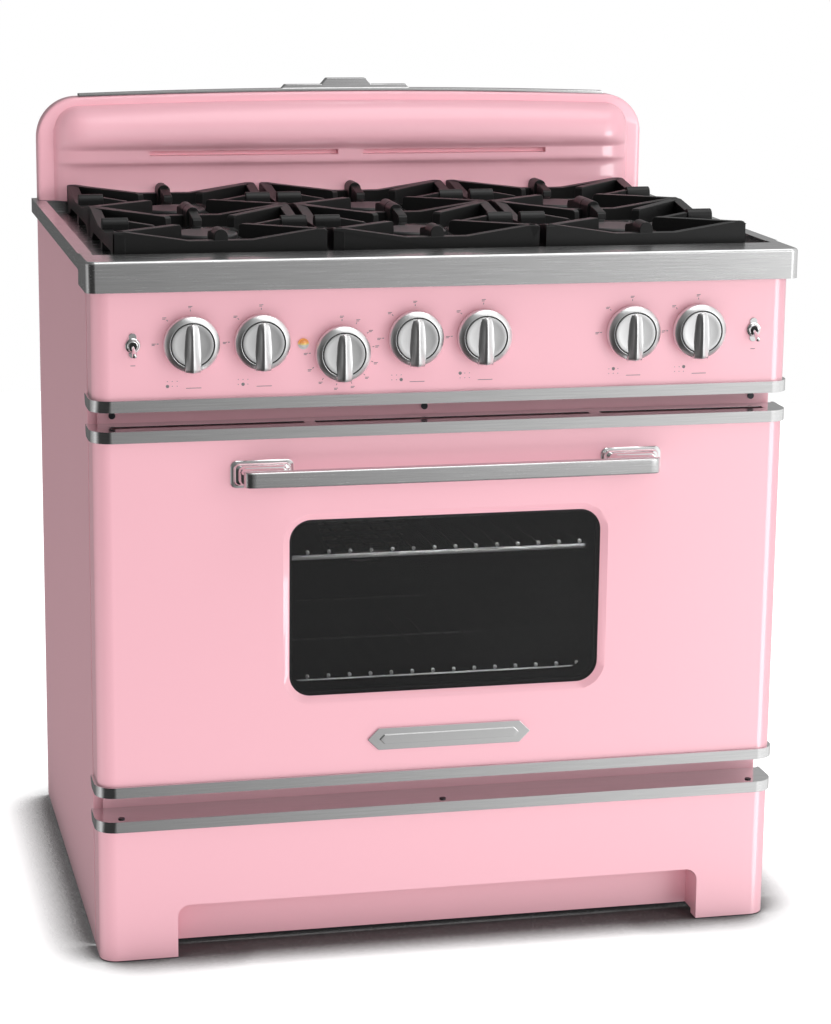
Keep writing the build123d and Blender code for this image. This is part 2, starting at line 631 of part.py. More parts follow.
# ---------------------------------------------------------------- controls and gas
def control_panel():
    """Painted panel with holes for knobs, switches and the indicator."""
    panel = front_shell(HALF, FRONT, back(WRAP), PANEL_BOTTOM, RAIL_BOTTOM + 2.0, CORNER_R, SHEET)
    holes = [(x, KNOB_Z, 7.0) for x in BURNER_KNOBS.values()]
    holes += [(OVEN_KNOB[0], OVEN_KNOB[1], 7.0), (INDICATOR[0], INDICATOR[1], 5.2)]
    holes += [(x, SWITCH_Z, 7.2) for x in SWITCHES.values()]
    for x, z, r in holes:
        panel = panel - bar_y(x, FRONT - 5.0, back(5.0), z, r)
    return panel


def knob(x, z):
    """Knob with a bevelled skirt, a thin groove, a domed face and a ridge grip."""
    y_back = FRONT - KNOB_BACK
    profile = [
        (0.0, 0.0), (KNOB_R - 0.8, 0.0), (KNOB_R, 0.8), (KNOB_R, 5.5),
        (KNOB_R - 7.4, 14.0), (KNOB_R - 7.8, 12.6), (KNOB_R - 8.6, 12.6), (KNOB_R - 8.8, 14.6),
        (20.0, 17.5), (10.0, 19.0), (0.0, 19.5),
    ]
    turned = revolve(Plane.XZ * make_face(Polyline(*profile, close=True)), Axis.Z)
    roof = [(-5.0, 26.0), (-9.5, 10.0), (9.5, 10.0), (5.0, 26.0), (0.0, 27.5)]
    ridge_plane = Plane(origin=(0, -KNOB_R + 0.4, 0), x_dir=(1, 0, 0), z_dir=(0, 1, 0))
    ridge_face = make_face(Polyline(*[(px, -pz) for px, pz in roof], close=True))
    ridge = extrude(ridge_plane * ridge_face, amount=KNOB_R + 24.0)
    ridge = ridge & Cylinder(KNOB_R - 0.2, 120.0)
    body = turned + ridge
    body = body - Pos(0, 0, 8.0) * Cylinder(PIN_R + RUNNING, 17.0)
    return Pos(x, y_back, z) * Rot(90, 0, 0) * body


def knob_stem(x):
    """Valve stem that carries a burner knob and slides in when the knob is pressed."""
    return bar_y(x, FRONT - KNOB_BACK - 16.0, back(16.0), KNOB_Z, PIN_R)


def valve_body(x, z, bored):
    """Brass valve between the manifold and its stem."""
    body = block(x - 13.0, x + 13.0, back(10.0), back(40.0), z - 14.0, z + 14.0)
    body = fillet(body.edges().filter_by(Axis.Y), 4.0)
    nose = bar_y(x, back(4.0), back(10.0), z, 9.0)
    elbow = bar_z(x, back(34.0), z + 14.0, z + 28.0, 5.0)
    valve = body + nose + elbow
    if bored:
        return valve - bar_y(x, back(0.0), back(22.0), z, PIN_R + RUNNING)
    return valve + bar_y(x, FRONT - KNOB_BACK - 16.0, back(4.0), z, PIN_R)


def gas_manifold():
    """Supply pipe along the back of the valves, with the valves on it."""
    pieces = [bar_x(-370.0, 370.0, back(49.0), KNOB_Z, 9.0)]
    pieces += [valve_body(x, KNOB_Z, True) for x in BURNER_KNOBS.values()]
    pieces.append(valve_body(OVEN_KNOB[0], OVEN_KNOB[1], False))
    return pieces


def switch_body(x):
    """Switch behind the panel, and its bright plate with a round boss in front."""
    plate = block(x - 5.0, x + 5.0, FRONT - 2.0, FRONT, SWITCH_Z - 15.5, SWITCH_Z + 15.5)
    plate = fillet(plate.edges().filter_by(Axis.Y), 3.0)
    boss = bar_y(x, FRONT - 5.0, FRONT, SWITCH_Z, 9.3)
    neck = bar_y(x, FRONT, back(12.0), SWITCH_Z, 7.0)
    case = block(x - 12.0, x + 12.0, back(12.0), back(38.0), SWITCH_Z - 16.0, SWITCH_Z + 16.0)
    hollow = bar_y(x, FRONT - 10.0, back(4.0), SWITCH_Z, 6.0)
    return plate + boss + neck + case - hollow


def switch_lever(x):
    """Bat-shaped lever on a small ball and pivot pin in its switch, pointing down and out."""
    pivot = Pos(x, FRONT - 3.0, SWITCH_Z)
    ball = Sphere(3.2)
    shaft = Pos(0, 0, -9.0) * Cone(3.0, 1.8, 18.0)
    tip = Pos(0, 0, -18.0) * Sphere(3.0)
    pin = Rot(0, 90, 0) * Cylinder(1.6, 10.0)
    return pivot * Rot(-58.0, 0, 0) * (ball + shaft + tip + pin)


def indicator_lamp():
    lens = bar_y(INDICATOR[0], FRONT - 1.5, back(14.0), INDICATOR[1], 5.0)
    bezel = bar_y(INDICATOR[0], FRONT - 1.5, FRONT, INDICATOR[1], 6.8)
    dome = Pos(INDICATOR[0], FRONT - 1.5, INDICATOR[1]) * Sphere(5.0)
    keep = block(INDICATOR[0] - 9, INDICATOR[0] + 9, FRONT - 9, FRONT - 1.5, INDICATOR[1] - 9,
                 INDICATOR[1] + 9)
    return lens + bezel + (dome & keep)


def gas_inlet():
    """Pressure regulator and threaded inlet nipple, with its feed up to the manifold."""
    regulator = bar_y(GAS_X, BACK - 70.0, BACK - 40.0, GAS_Z, 28.0)
    nipple = bar_y(GAS_X, BACK - 40.0, BACK - 2.0, GAS_Z, GAS_NIPPLE_R)
    riser = bar_z(GAS_X, BACK - 55.0, GAS_Z + 28.0, 835.0, 6.0)
    return [regulator + nipple, riser]


def power_inlet():
    """Cord gland in the back panel with its terminal box inside."""
    gland = bar_y(POWER_X, BACK - 12.0, BACK, POWER_Z, 10.0)
    box = block(POWER_X - 35.0, POWER_X + 35.0, BACK - 50.0, BACK - 12.0, POWER_Z - 30, POWER_Z + 30)
    bore = bar_y(POWER_X, BACK - 14.0, BACK + 5.0, POWER_Z, POWER_BORE_R)
    return gland + box - bore


def fixing_screws():
    """Three pan-head screws in the upper recess and three on the base trim's shelf."""
    heads = []
    for x in (-420.0, -20.0, 420.0):
        heads.append(bar_y(x, back(RECESS_DEPTH - 2.2), back(RECESS_DEPTH), 703.0, 4.2))
    for x in (-420.0, 0.0, 420.0):
        heads.append(bar_z(x, back(9.0), KICK_TRIM_TOP, KICK_TRIM_TOP + 1.2, 4.2))
    return heads


# ---------------------------------------------------------------- backguard
def guard_outline(inset):
    """Front view of the backguard: arched top and large upper corner radii."""
    half = HALF - inset
    top = GUARD_TOP - inset
    low = top - GUARD_ARCH
    r = GUARD_R - inset
    base = RAIL_TOP + 0.2 + inset
    start = (half, low - r)
    turn = (half - r * (1 - math.sqrt(0.5)), low - r * (1 - math.sqrt(0.5)))
    side = Line((half, base), start)
    corner = ThreePointArc(start, turn, (half - r, low))
    crown = ThreePointArc((half - r, low), (0, top), (-half + r, low))
    far_corner = ThreePointArc((-half + r, low), (-turn[0], turn[1]), (-half, start[1]))
    far_side = Line((-half, start[1]), (-half, base))
    foot = Line((-half, base), (half, base))
    return make_face(Curve() + [side, corner, crown, far_corner, far_side, foot])


def guard_box(inset, y0, y1):
    plane = Plane(origin=(0, y1, 0), x_dir=(1, 0, 0), z_dir=(0, -1, 0))
    return extrude(plane * guard_outline(inset), amount=y1 - y0)


def guard_bulge(inset):
    """Front skin: foot cove, lower panel, lip, slit and a rounded brow with rounded ends."""
    y_rear = 660.0
    z0 = RAIL_TOP + 0.2 + inset
    points = [
        (y_rear, z0), (630.5 + inset, z0), (632.0 + inset, 912.0), (642.0 + inset, 924.0),
        (641.0 + inset, 957.0), (625.0 + inset, 966.0 - inset), (625.0 + inset, 978.0 + inset),
    ]
    brow = [
        (625.0 + inset, 978.0 + inset), (612.0 + inset, 992.0), (610.0 + inset, 1008.0),
        (615.0 + inset, 1026.0), (632.0 + inset, 1040.0 - inset), (y_rear, BROW_TOP - inset),
    ]
    low = Polyline(*points)
    high = Spline(*brow)
    rear = Line(brow[-1], points[0])
    face = make_face(Curve() + [low, high, rear])
    half = GUARD_INNER_HALF - inset
    plane = Plane(origin=(-half, FRONT, 0), x_dir=(0, 1, 0), z_dir=(1, 0, 0))
    ends = upright_slab(
        half, z0 - 2 * BROW_CORNER_R, BROW_TOP + 1.0 - inset, BROW_CORNER_R - inset, back(600.0), back(y_rear)
    )
    return extrude(plane * face, amount=2 * half) & ends


def backguard():
    """Hollow sheet backguard with two long vent slits under the brow."""
    outer = guard_box(0.0, GUARD_RIM_Y, BACK) + guard_bulge(0.0)
    inner = guard_box(SHEET, GUARD_RIM_Y + SHEET, BACK - SHEET) + guard_bulge(SHEET)
    near, far = SLIT_X
    slits = [block(x0, x1, back(600.0), back(640.0), *SLIT_Z) for x0, x1 in ((-far, -near), (near, far))]
    return outer - [inner, *slits]


def backguard_trim():
    """Bright strip along the arched top with a two-step ornament in the middle."""
    crown_half = HALF - GUARD_R
    half = crown_half - 1.0
    crown_r = (crown_half ** 2 + GUARD_ARCH ** 2) / (2 * GUARD_ARCH)
    foot = GUARD_TOP + 0.1
    end_z = foot - crown_r + math.sqrt(crown_r ** 2 - half ** 2)
    low = ThreePointArc((-half, end_z), (0, foot), (half, end_z))
    right = Line((half, end_z), (half, end_z + 4.5))
    high = ThreePointArc((half, end_z + 4.5), (0, foot + 4.5), (-half, end_z + 4.5))
    left = Line((-half, end_z + 4.5), (-half, end_z))
    steps = []
    for half_low, half_high, z0, z1 in ((96.0, 90.0, 1060.0, 1066.5), (37.0, 29.0, 1066.0, 1075.5)):
        points = [(-half_low, z0), (half_low, z0), (half_high, z1), (-half_high, z1)]
        steps.append(make_face(Polyline(*points, close=True)))
    plane = Plane(origin=(0, back(674.0), 0), x_dir=(1, 0, 0), z_dir=(0, -1, 0))
    strip = extrude(plane * make_face(Curve() + [low, right, high, left]), amount=16.0)
    for step in steps:
        strip = strip + extrude(plane * step, amount=13.0)
    return strip


def build():
    os.makedirs("parts", exist_ok=True)
    panel = side_panel()
    save("side_panel_right", *panel)
    save("side_panel_left", *[sheet.mirror(Plane.YZ) for sheet in panel])
    save("back_panel", back_panel())
    save("base_pan", *base_pan())
    save("levelling_feet", *[levelling_foot(x, y) for x, y in FOOT_PLACES])
    save("front_frame", *front_frame())
    save("kick_panel", kick_panel())
    save("kick_trim", kick_trim())
    save("door_shell", door_shell())
    save("door_panes", *door_panes())
    save("door_liner", door_liner())
    save("door_top_trim", door_top_trim())
    save("door_bottom_trim", door_bottom_trim())
    save("door_ornament", door_ornament())
    save("handle_mounts", *mirrored(handle_mount()))
    save("handle_bar", handle_bar())
    save("door_hinge_brackets", *mirrored(door_hinge_bracket()))
    save("hinge_arms", *mirrored(hinge_arm()))
    save("oven_liner", *oven_liner())
    for level in RACK_LEVELS:
        save(level, oven_rack(level))
    save("bake_burner", *bake_burner())
    save("broil_burner", broil_burner())
    save("fan_motor", fan_motor())
    save("fan_wheel", fan_wheel())
    save("fan_cover", fan_cover())
    save("oven_lamp", oven_lamp())
    save("oven_insulation", *oven_insulation())
    save("front_rail", front_rail())
    save("cooktop", cooktop())
    heads = [burner_head(x, y) for x, y in BURNER_PLACES]
    electrodes = [spark_electrode(x, y + BURNER_R + 6.0) for x, y in BURNER_PLACES]
    save("burner_heads", *heads, *electrodes)
    save("burner_caps", *[burner_cap(x, y) for x, y in BURNER_PLACES])
    for name, column in (("grate_left", -1), ("grate_center", 0), ("grate_right", 1)):
        save(name, grate(column * GRATE_PITCH))
    save("control_panel", control_panel())
    save("panel_trim", panel_trim())
    for name, x in BURNER_KNOBS.items():
        save(name, knob(x, KNOB_Z))
        save(name.replace("knob", "stem"), knob_stem(x))
    save("oven_knob", knob(*OVEN_KNOB))
    save("gas_manifold", *gas_manifold())
    save("switch_bodies", *[switch_body(x) for x in SWITCHES.values()])
    for name, x in SWITCHES.items():
        save(name, switch_lever(x))
    save("indicator_lamp", indicator_lamp())
    save("gas_inlet", *gas_inlet())
    save("power_inlet", power_inlet())
    save("fixing_screws", *fixing_screws())
    save("backguard", backguard())
    save("backguard_trim", backguard_trim())


build()
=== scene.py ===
import json
import math

import bmesh
import bpy
from mathutils import Matrix, Vector

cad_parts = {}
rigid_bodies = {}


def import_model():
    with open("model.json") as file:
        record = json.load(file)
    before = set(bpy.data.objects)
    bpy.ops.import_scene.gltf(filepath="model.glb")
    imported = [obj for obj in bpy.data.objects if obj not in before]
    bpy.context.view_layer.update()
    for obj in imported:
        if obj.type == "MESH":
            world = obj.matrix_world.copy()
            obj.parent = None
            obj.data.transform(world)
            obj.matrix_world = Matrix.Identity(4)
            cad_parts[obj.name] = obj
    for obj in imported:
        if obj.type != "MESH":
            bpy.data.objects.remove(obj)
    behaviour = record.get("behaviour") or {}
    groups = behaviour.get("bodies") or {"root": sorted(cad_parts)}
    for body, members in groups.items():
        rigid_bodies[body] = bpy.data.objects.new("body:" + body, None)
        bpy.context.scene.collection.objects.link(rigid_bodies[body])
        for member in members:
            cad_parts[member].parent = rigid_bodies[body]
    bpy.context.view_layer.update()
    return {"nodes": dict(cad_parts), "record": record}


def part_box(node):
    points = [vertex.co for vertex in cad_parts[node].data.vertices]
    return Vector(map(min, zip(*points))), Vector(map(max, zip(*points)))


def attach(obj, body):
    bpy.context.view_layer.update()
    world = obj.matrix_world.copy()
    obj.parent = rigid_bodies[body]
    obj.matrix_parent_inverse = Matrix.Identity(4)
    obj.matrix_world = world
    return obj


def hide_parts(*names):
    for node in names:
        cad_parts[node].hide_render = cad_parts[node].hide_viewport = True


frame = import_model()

# Freestanding gas range: looks on top of the CAD frame. Metres, +Z up, the front faces -Y.

MM = 0.001

# ---------------------------------------------------------------- sizes shared by the pieces
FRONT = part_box("door_shell")[0][1]          # front face of the painted panels
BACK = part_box("back_panel")[1][1]
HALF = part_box("backguard")[1][0] / MM       # half the painted body's width, in millimetres
SWITCH_Z = 0.8                              # height of the toggle switches
KNOBS = {
    "knob_left_front": "burner",
    "knob_left_rear": "burner",
    "oven_knob": "oven",
    "knob_center_front": "burner",
    "knob_center_rear": "burner",
    "knob_right_front": "burner",
    "knob_right_rear": "burner",
}
GRATES = ("grate_left", "grate_center", "grate_right")

# ---------------------------------------------------------------- camera and light
CAMERA_AT = (-0.8228, -3.6689, 1.3610)
CAMERA_YAW = 13.118
CAMERA_PITCH = 12.847
CAMERA_ROLL = 0.654
CAMERA_LENS = 97.76
SENSOR = 36.0
# what bright surfaces mirror: brightness by direction round the range, in degrees from straight
# ahead of the front and positive to the right, for rays going down, level and up
MIRROR_LOW = (
    (-180.0, 0.10), (-150.0, 0.03), (-20.0, 0.03), (0.0, 0.12), (24.0, 0.5), (60.0, 0.45),
    (120.0, 0.22), (180.0, 0.12),
)
MIRROR_LEVEL = (
    (-180.0, 0.14), (-145.0, 0.14), (-110.0, 0.50), (-92.0, 0.80), (-78.0, 0.30), (-66.0, 0.05),
    (-8.0, 0.04), (2.0, 0.18), (10.0, 0.37), (16.0, 0.60), (22.0, 1.0), (32.0, 1.15), (60.0, 1.1),
    (110.0, 1.0), (150.0, 0.4), (180.0, 0.14),
)
MIRROR_HIGH = (
    (-180.0, 0.30), (-120.0, 0.16), (-60.0, 0.18), (-10.0, 0.30), (20.0, 0.9), (60.0, 1.1),
    (120.0, 1.0), (180.0, 0.4),
)
# what lights matt surfaces
FILL_LEVEL = (
    (-180.0, 0.30), (-110.0, 0.12), (-60.0, 0.13), (0.0, 0.33), (40.0, 0.48), (110.0, 0.55),
    (180.0, 0.35),
)
FILL_TOP = 0.32


# ---------------------------------------------------------------- node helpers
def add(tree, kind, **values):
    """A shader node with its plain properties and unlinked inputs set."""
    node = tree.nodes.new(kind)
    for key, value in values.items():
        if hasattr(node, key):
            setattr(node, key, value)
        else:
            node.inputs[key.replace("_", " ")].default_value = value
    return node


def surface(name, **shader):
    """A new material and its Principled shader, with the shader's own numbers set."""
    material = bpy.data.materials.new(name)
    material.use_nodes = True
    bsdf = material.node_tree.nodes["Principled BSDF"]
    for key, value in shader.items():
        bsdf.inputs[key.replace("_", " ")].default_value = value
    return material, material.node_tree, bsdf


def object_coords(tree, scale=(1.0, 1.0, 1.0)):
    coords = add(tree, "ShaderNodeTexCoord")
    mapping = add(tree, "ShaderNodeMapping")
    mapping.inputs["Scale"].default_value = scale
    tree.links.new(coords.outputs["Object"], mapping.inputs["Vector"])
    return mapping.outputs["Vector"]


def noise(tree, vector, scale, detail=3.0, roughness=0.5):
    node = add(tree, "ShaderNodeTexNoise", Scale=scale, Detail=detail, Roughness=roughness)
    tree.links.new(vector, node.inputs["Vector"])
    return node.outputs["Fac"]


def ramp(tree, factor, stops):
    """Colour ramp from (position, colour) stops."""
    node = add(tree, "ShaderNodeValToRGB")
    elements = node.color_ramp.elements
    while len(elements) < len(stops):
        elements.new(0.5)
    for element, (position, colour) in zip(elements, stops):
        element.position = position
        element.color = colour
    tree.links.new(factor, node.inputs["Fac"])
    return node.outputs["Color"]


def remap(tree, factor, low, high):
    node = add(tree, "ShaderNodeMapRange")
    node.inputs["To Min"].default_value = low
    node.inputs["To Max"].default_value = high
    tree.links.new(factor, node.inputs["Value"])
    return node.outputs["Result"]


def bump(tree, bsdf, height, distance, strength=1.0):
    node = add(tree, "ShaderNodeBump", Strength=strength, Distance=distance)
    tree.links.new(height, node.inputs["Height"])
    tree.links.new(node.outputs["Normal"], bsdf.inputs["Normal"])


def grey(level, alpha=1.0):
    return (level, level, level, alpha)


def mid(node):
    """Middle of a CAD node's box."""
    low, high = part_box(node)
    return tuple((a + b) / 2 for a, b in zip(low, high))


# ---------------------------------------------------------------- materials
def paint():
    """Gloss pink enamel: faint orange peel, a slight tone drift, clear coat."""
    material, tree, bsdf = surface("pink_paint", Roughness=0.42, IOR=1.5, Coat_Weight=0.5,
                                   Coat_Roughness=0.08)
    vector = object_coords(tree)
    drift = noise(tree, vector, 1.3, 1.0)
    tint = ramp(tree, drift, [(0.3, (0.89, 0.463, 0.535, 1)), (0.7, (0.90, 0.473, 0.545, 1))])
    tree.links.new(tint, bsdf.inputs["Base Color"])
    tree.links.new(remap(tree, noise(tree, vector, 6.0, 1.0), 0.41, 0.43), bsdf.inputs["Roughness"])
    bump(tree, bsdf, noise(tree, vector, 420.0, 1.0), 0.00001, 0.25)
    return material


def brushed(name, level, grain, roughness, metal_tint=(1.0, 1.0, 1.0)):
    """Brushed steel with grain along X."""
    material, tree, bsdf = surface(name, Metallic=1.0, Roughness=roughness)
    vector = object_coords(tree, (1.5, 60.0, 60.0))
    lines = noise(tree, vector, grain, 4.0, 0.6)
    dark = tuple(level * 0.93 * c for c in metal_tint) + (1,)
    light = tuple(level * 1.05 * c for c in metal_tint) + (1,)
    tree.links.new(ramp(tree, lines, [(0.3, dark), (0.7, light)]), bsdf.inputs["Base Color"])
    tree.links.new(remap(tree, lines, roughness * 0.8, roughness * 1.25), bsdf.inputs["Roughness"])
    bump(tree, bsdf, lines, 0.00002, 0.3)
    return material


def polished(name, level, roughness, metallic=1.0):
    """Bright plating with faint smudges in its gloss."""
    material, tree, bsdf = surface(name, Metallic=metallic, Roughness=roughness)
    vector = object_coords(tree)
    smudge = noise(tree, vector, 18.0, 4.0, 0.6)
    tone = ramp(tree, smudge, [(0.3, grey(level * 0.97)), (0.7, grey(level))])
    tree.links.new(tone, bsdf.inputs["Base Color"])
    tree.links.new(remap(tree, smudge, roughness * 0.7, roughness * 1.4), bsdf.inputs["Roughness"])
    return material


def rough_metal(name, colour, roughness, scale, depth, metallic=1.0, specular=0.5):
    """Cast or rolled metal with a grainy surface."""
    material, tree, bsdf = surface(name, Metallic=metallic, Roughness=roughness,
                                   Specular_IOR_Level=specular)
    vector = object_coords(tree)
    grain = noise(tree, vector, scale, 5.0, 0.65)
    dark = tuple(0.8 * c for c in colour) + (1,)
    light = tuple(min(1.0, 1.15 * c) for c in colour) + (1,)
    tree.links.new(ramp(tree, grain, [(0.35, dark), (0.7, light)]), bsdf.inputs["Base Color"])
    tree.links.new(remap(tree, grain, roughness * 0.85, min(1.0, roughness * 1.2)),
                   bsdf.inputs["Roughness"])
    bump(tree, bsdf, grain, depth, 0.5)
    return material


def speckled_enamel():
    """Dark porcelain enamel with pale specks."""
    material, tree, bsdf = surface("dark_enamel", Roughness=0.22, Coat_Weight=0.4)
    vector = object_coords(tree)
    cells = add(tree, "ShaderNodeTexVoronoi", Scale=420.0)
    tree.links.new(vector, cells.inputs["Vector"])
    specks = ramp(tree, cells.outputs["Distance"],
                  [(0.06, (0.10, 0.11, 0.13, 1)), (0.11, (0.011, 0.012, 0.015, 1))])
    tree.links.new(specks, bsdf.inputs["Base Color"])
    bump(tree, bsdf, noise(tree, vector, 90.0), 0.00005, 0.3)
    return material


def tinted_glass():
    """Dark reflective oven glass, thin enough to see the racks through."""
    material, tree, bsdf = surface("oven_glass", Roughness=0.02, IOR=1.5, Alpha=0.32)
    vector = object_coords(tree)
    drift = noise(tree, vector, 3.0)
    tint = ramp(tree, drift, [(0.3, grey(0.010)), (0.7, grey(0.016))])
    tree.links.new(tint, bsdf.inputs["Base Color"])
    material.surface_render_method = "BLENDED"
    return material


def clear_glass():
    """Inner pane: almost clear."""
    material, tree, bsdf = surface("clear_glass", Roughness=0.02, IOR=1.5, Alpha=0.10)
    tint = ramp(tree, noise(tree, object_coords(tree), 3.0), [(0.3, grey(0.02)), (0.7, grey(0.03))])
    tree.links.new(tint, bsdf.inputs["Base Color"])
    material.surface_render_method = "BLENDED"
    return material


def lens(name, colour, strength, alpha):
    """Coloured translucent lens with a faint glow."""
    material, tree, bsdf = surface(name, Roughness=0.12, Coat_Weight=0.5, Alpha=alpha,
                                   Emission_Strength=strength)
    vector = object_coords(tree)
    inner = noise(tree, vector, 300.0, 2.0)
    dark = tuple(0.8 * c for c in colour) + (1,)
    light = tuple(min(1.0, 1.1 * c) for c in colour) + (1,)
    tint = ramp(tree, inner, [(0.3, dark), (0.7, light)])
    tree.links.new(tint, bsdf.inputs["Base Color"])
    tree.links.new(tint, bsdf.inputs["Emission Color"])
    return material


def indicator_lens():
    """Small dome, amber above and pale below."""
    material, tree, bsdf = surface("indicator_lens", Roughness=0.12, Coat_Weight=0.5)
    middle = mid("indicator_lamp")[2]
    split = add(tree, "ShaderNodeSeparateXYZ")
    tree.links.new(object_coords(tree), split.inputs["Vector"])
    height = add(tree, "ShaderNodeMapRange")
    height.inputs["From Min"].default_value = middle - 3.0 * MM
    height.inputs["From Max"].default_value = middle + 3.0 * MM
    tree.links.new(split.outputs["Z"], height.inputs["Value"])
    tint = ramp(tree, height.outputs["Result"],
                [(0.25, (0.55, 0.57, 0.54, 1)), (0.50, (0.80, 0.62, 0.20, 1)),
                 (0.85, (0.90, 0.38, 0.10, 1))])
    tree.links.new(tint, bsdf.inputs["Base Color"])
    return material


def wool():
    """Mineral wool: matted yellow-grey fibres."""
    material, tree, bsdf = surface("mineral_wool", Roughness=0.95)
    vector = object_coords(tree, (1.0, 1.0, 6.0))
    fibres = noise(tree, vector, 180.0, 6.0, 0.7)
    tint = ramp(tree, fibres, [(0.3, (0.36, 0.31, 0.20, 1)), (0.7, (0.72, 0.68, 0.52, 1))])
    tree.links.new(tint, bsdf.inputs["Base Color"])
    bump(tree, bsdf, fibres, 0.002, 0.8)
    return material


def printed(name, level):
    """Matt ink for the dial marks."""
    material, tree, bsdf = surface(name, Roughness=0.6)
    tone = ramp(tree, noise(tree, object_coords(tree), 400.0),
                [(0.3, grey(level)), (0.7, grey(level * 1.4))])
    tree.links.new(tone, bsdf.inputs["Base Color"])
    return material


MATERIALS = {
    "paint": paint(),
    "bright_trim": brushed("bright_trim", 0.74, 9.0, 0.15),
    "stainless": brushed("stainless", 0.60, 12.0, 0.25),
    "chrome_plate": polished("chrome_plate", 0.86, 0.07),
    # chrome_wire is darker than chrome_plate: painted shade that keeps the rack wires deep in the oven
    # dim
    "chrome_wire": polished("chrome_wire", 0.55, 0.14),
    "knob_metal": polished("knob_metal", 0.82, 0.34),
    "galvanised": rough_metal("galvanised", (0.60, 0.62, 0.63), 0.45, 45.0, 0.00003),
    "foot_steel": rough_metal("foot_steel", (0.42, 0.42, 0.43), 0.40, 200.0, 0.00003),
    "enamel_dark": speckled_enamel(),
    "burner_steel": rough_metal("burner_steel", (0.34, 0.31, 0.28), 0.50, 120.0, 0.00005),
    "burner_alloy": rough_metal("burner_alloy", (0.52, 0.52, 0.51), 0.48, 500.0, 0.00006),
    "cap_enamel": rough_metal("cap_enamel", (0.018, 0.018, 0.019), 0.42, 400.0, 0.00004, 0.0),
    "grate_iron": rough_metal("grate_iron", (0.005, 0.005, 0.005), 0.42, 650.0, 0.00010, 0.0, 0.35),
    "valve_brass": rough_metal("valve_brass", (0.70, 0.52, 0.26), 0.33, 150.0, 0.00002),
    "oven_glass": tinted_glass(),
    "lamp_glass": lens("lamp_glass", (0.85, 0.82, 0.74), 0.0, 0.6),
    "amber_lens": indicator_lens(),
    "black_plastic": rough_metal("black_plastic", (0.02, 0.02, 0.02), 0.50, 700.0, 0.00003, 0.0),
    "insulation": wool(),
    # a near-white, almost non-metal copy of the rack wire: a painted highlight for the rack fronts
    "painted_lit_wire": polished("painted_lit_wire", 0.95, 0.30, 0.1),
}


OWN_MATERIALS = {
    "fixing_screws": rough_metal("screw_steel", (0.05, 0.05, 0.055), 0.35, 300.0, 0.00002),
}


# ---------------------------------------------------------------- carried-over CAD nodes
def soften(piece, width, angle=35.0, segments=2):
    """Rounded edges and even shading, without touching the mesh's own vertices."""
    weld = piece.modifiers.new("weld", "WELD")
    weld.merge_threshold = 0.00002
    if width > 0.0:
        bevel = piece.modifiers.new("edge", "BEVEL")
        bevel.width = width
        bevel.segments = segments
        bevel.limit_method = "ANGLE"
        bevel.angle_limit = math.radians(angle)
    split = piece.modifiers.new("split", "EDGE_SPLIT")
    split.split_angle = math.radians(33.0)
    normals = piece.modifiers.new("normals", "WEIGHTED_NORMAL")
    normals.weight = 90


def dress_cad():
    """Material of its slot on every CAD node, with small edge radii on the bright pieces."""
    edges = {
        "bright_trim": 0.0009,
        "stainless": 0.0006,
        "chrome_plate": 0.0006,
        "grate_iron": 0.0020,
        "foot_steel": 0.0005,
    }
    slots = {entry["node"]: entry["material_slot"] for entry in frame["record"]["subparts"]}
    for name, node in frame["nodes"].items():
        node.data.materials.clear()
        node.data.materials.append(OWN_MATERIALS.get(name, MATERIALS[slots[name]]))
        for polygon in node.data.polygons:
            polygon.use_smooth = True
        if "custom_normal" in node.data.attributes:
            node.data.attributes.remove(node.data.attributes["custom_normal"])
        soften(node, edges.get(slots[name], 0.0))


# ---------------------------------------------------------------- mesh helpers
def shade(piece, angle=32.0):
    """Smooth shading that breaks at sharp edges."""
    for polygon in piece.data.polygons:
        polygon.use_smooth = True
    piece.data.set_sharp_from_angle(angle=math.radians(angle))


def piece_from(name, body, slot, verts, faces, bevel=0.0, segments=3, material=None):
    """A mesh piece of the object, in its slot's material, riding on a body."""
    mesh = bpy.data.meshes.new(name)
    mesh.from_pydata([Vector(v) for v in verts], [], faces)
    work = bmesh.new()
    work.from_mesh(mesh)
    bmesh.ops.remove_doubles(work, verts=work.verts, dist=0.000001)
    bmesh.ops.recalc_face_normals(work, faces=work.faces)
    work.to_mesh(mesh)
    work.free()
    piece = bpy.data.objects.new(name, mesh)
    bpy.context.scene.collection.objects.link(piece)
    mesh.materials.append(material or MATERIALS[slot])
    if bevel > 0.0:
        edge = piece.modifiers.new("edge", "BEVEL")
        edge.width = bevel
        edge.segments = segments
        edge.limit_method = "ANGLE"
        edge.angle_limit = math.radians(32.0)
        for polygon in mesh.polygons:
            polygon.use_smooth = True
        split = piece.modifiers.new("split", "EDGE_SPLIT")
        split.split_angle = math.radians(40.0)
        normals = piece.modifiers.new("normals", "WEIGHTED_NORMAL")
        normals.weight = 90
    else:
        shade(piece)
    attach(piece, body)
    return piece


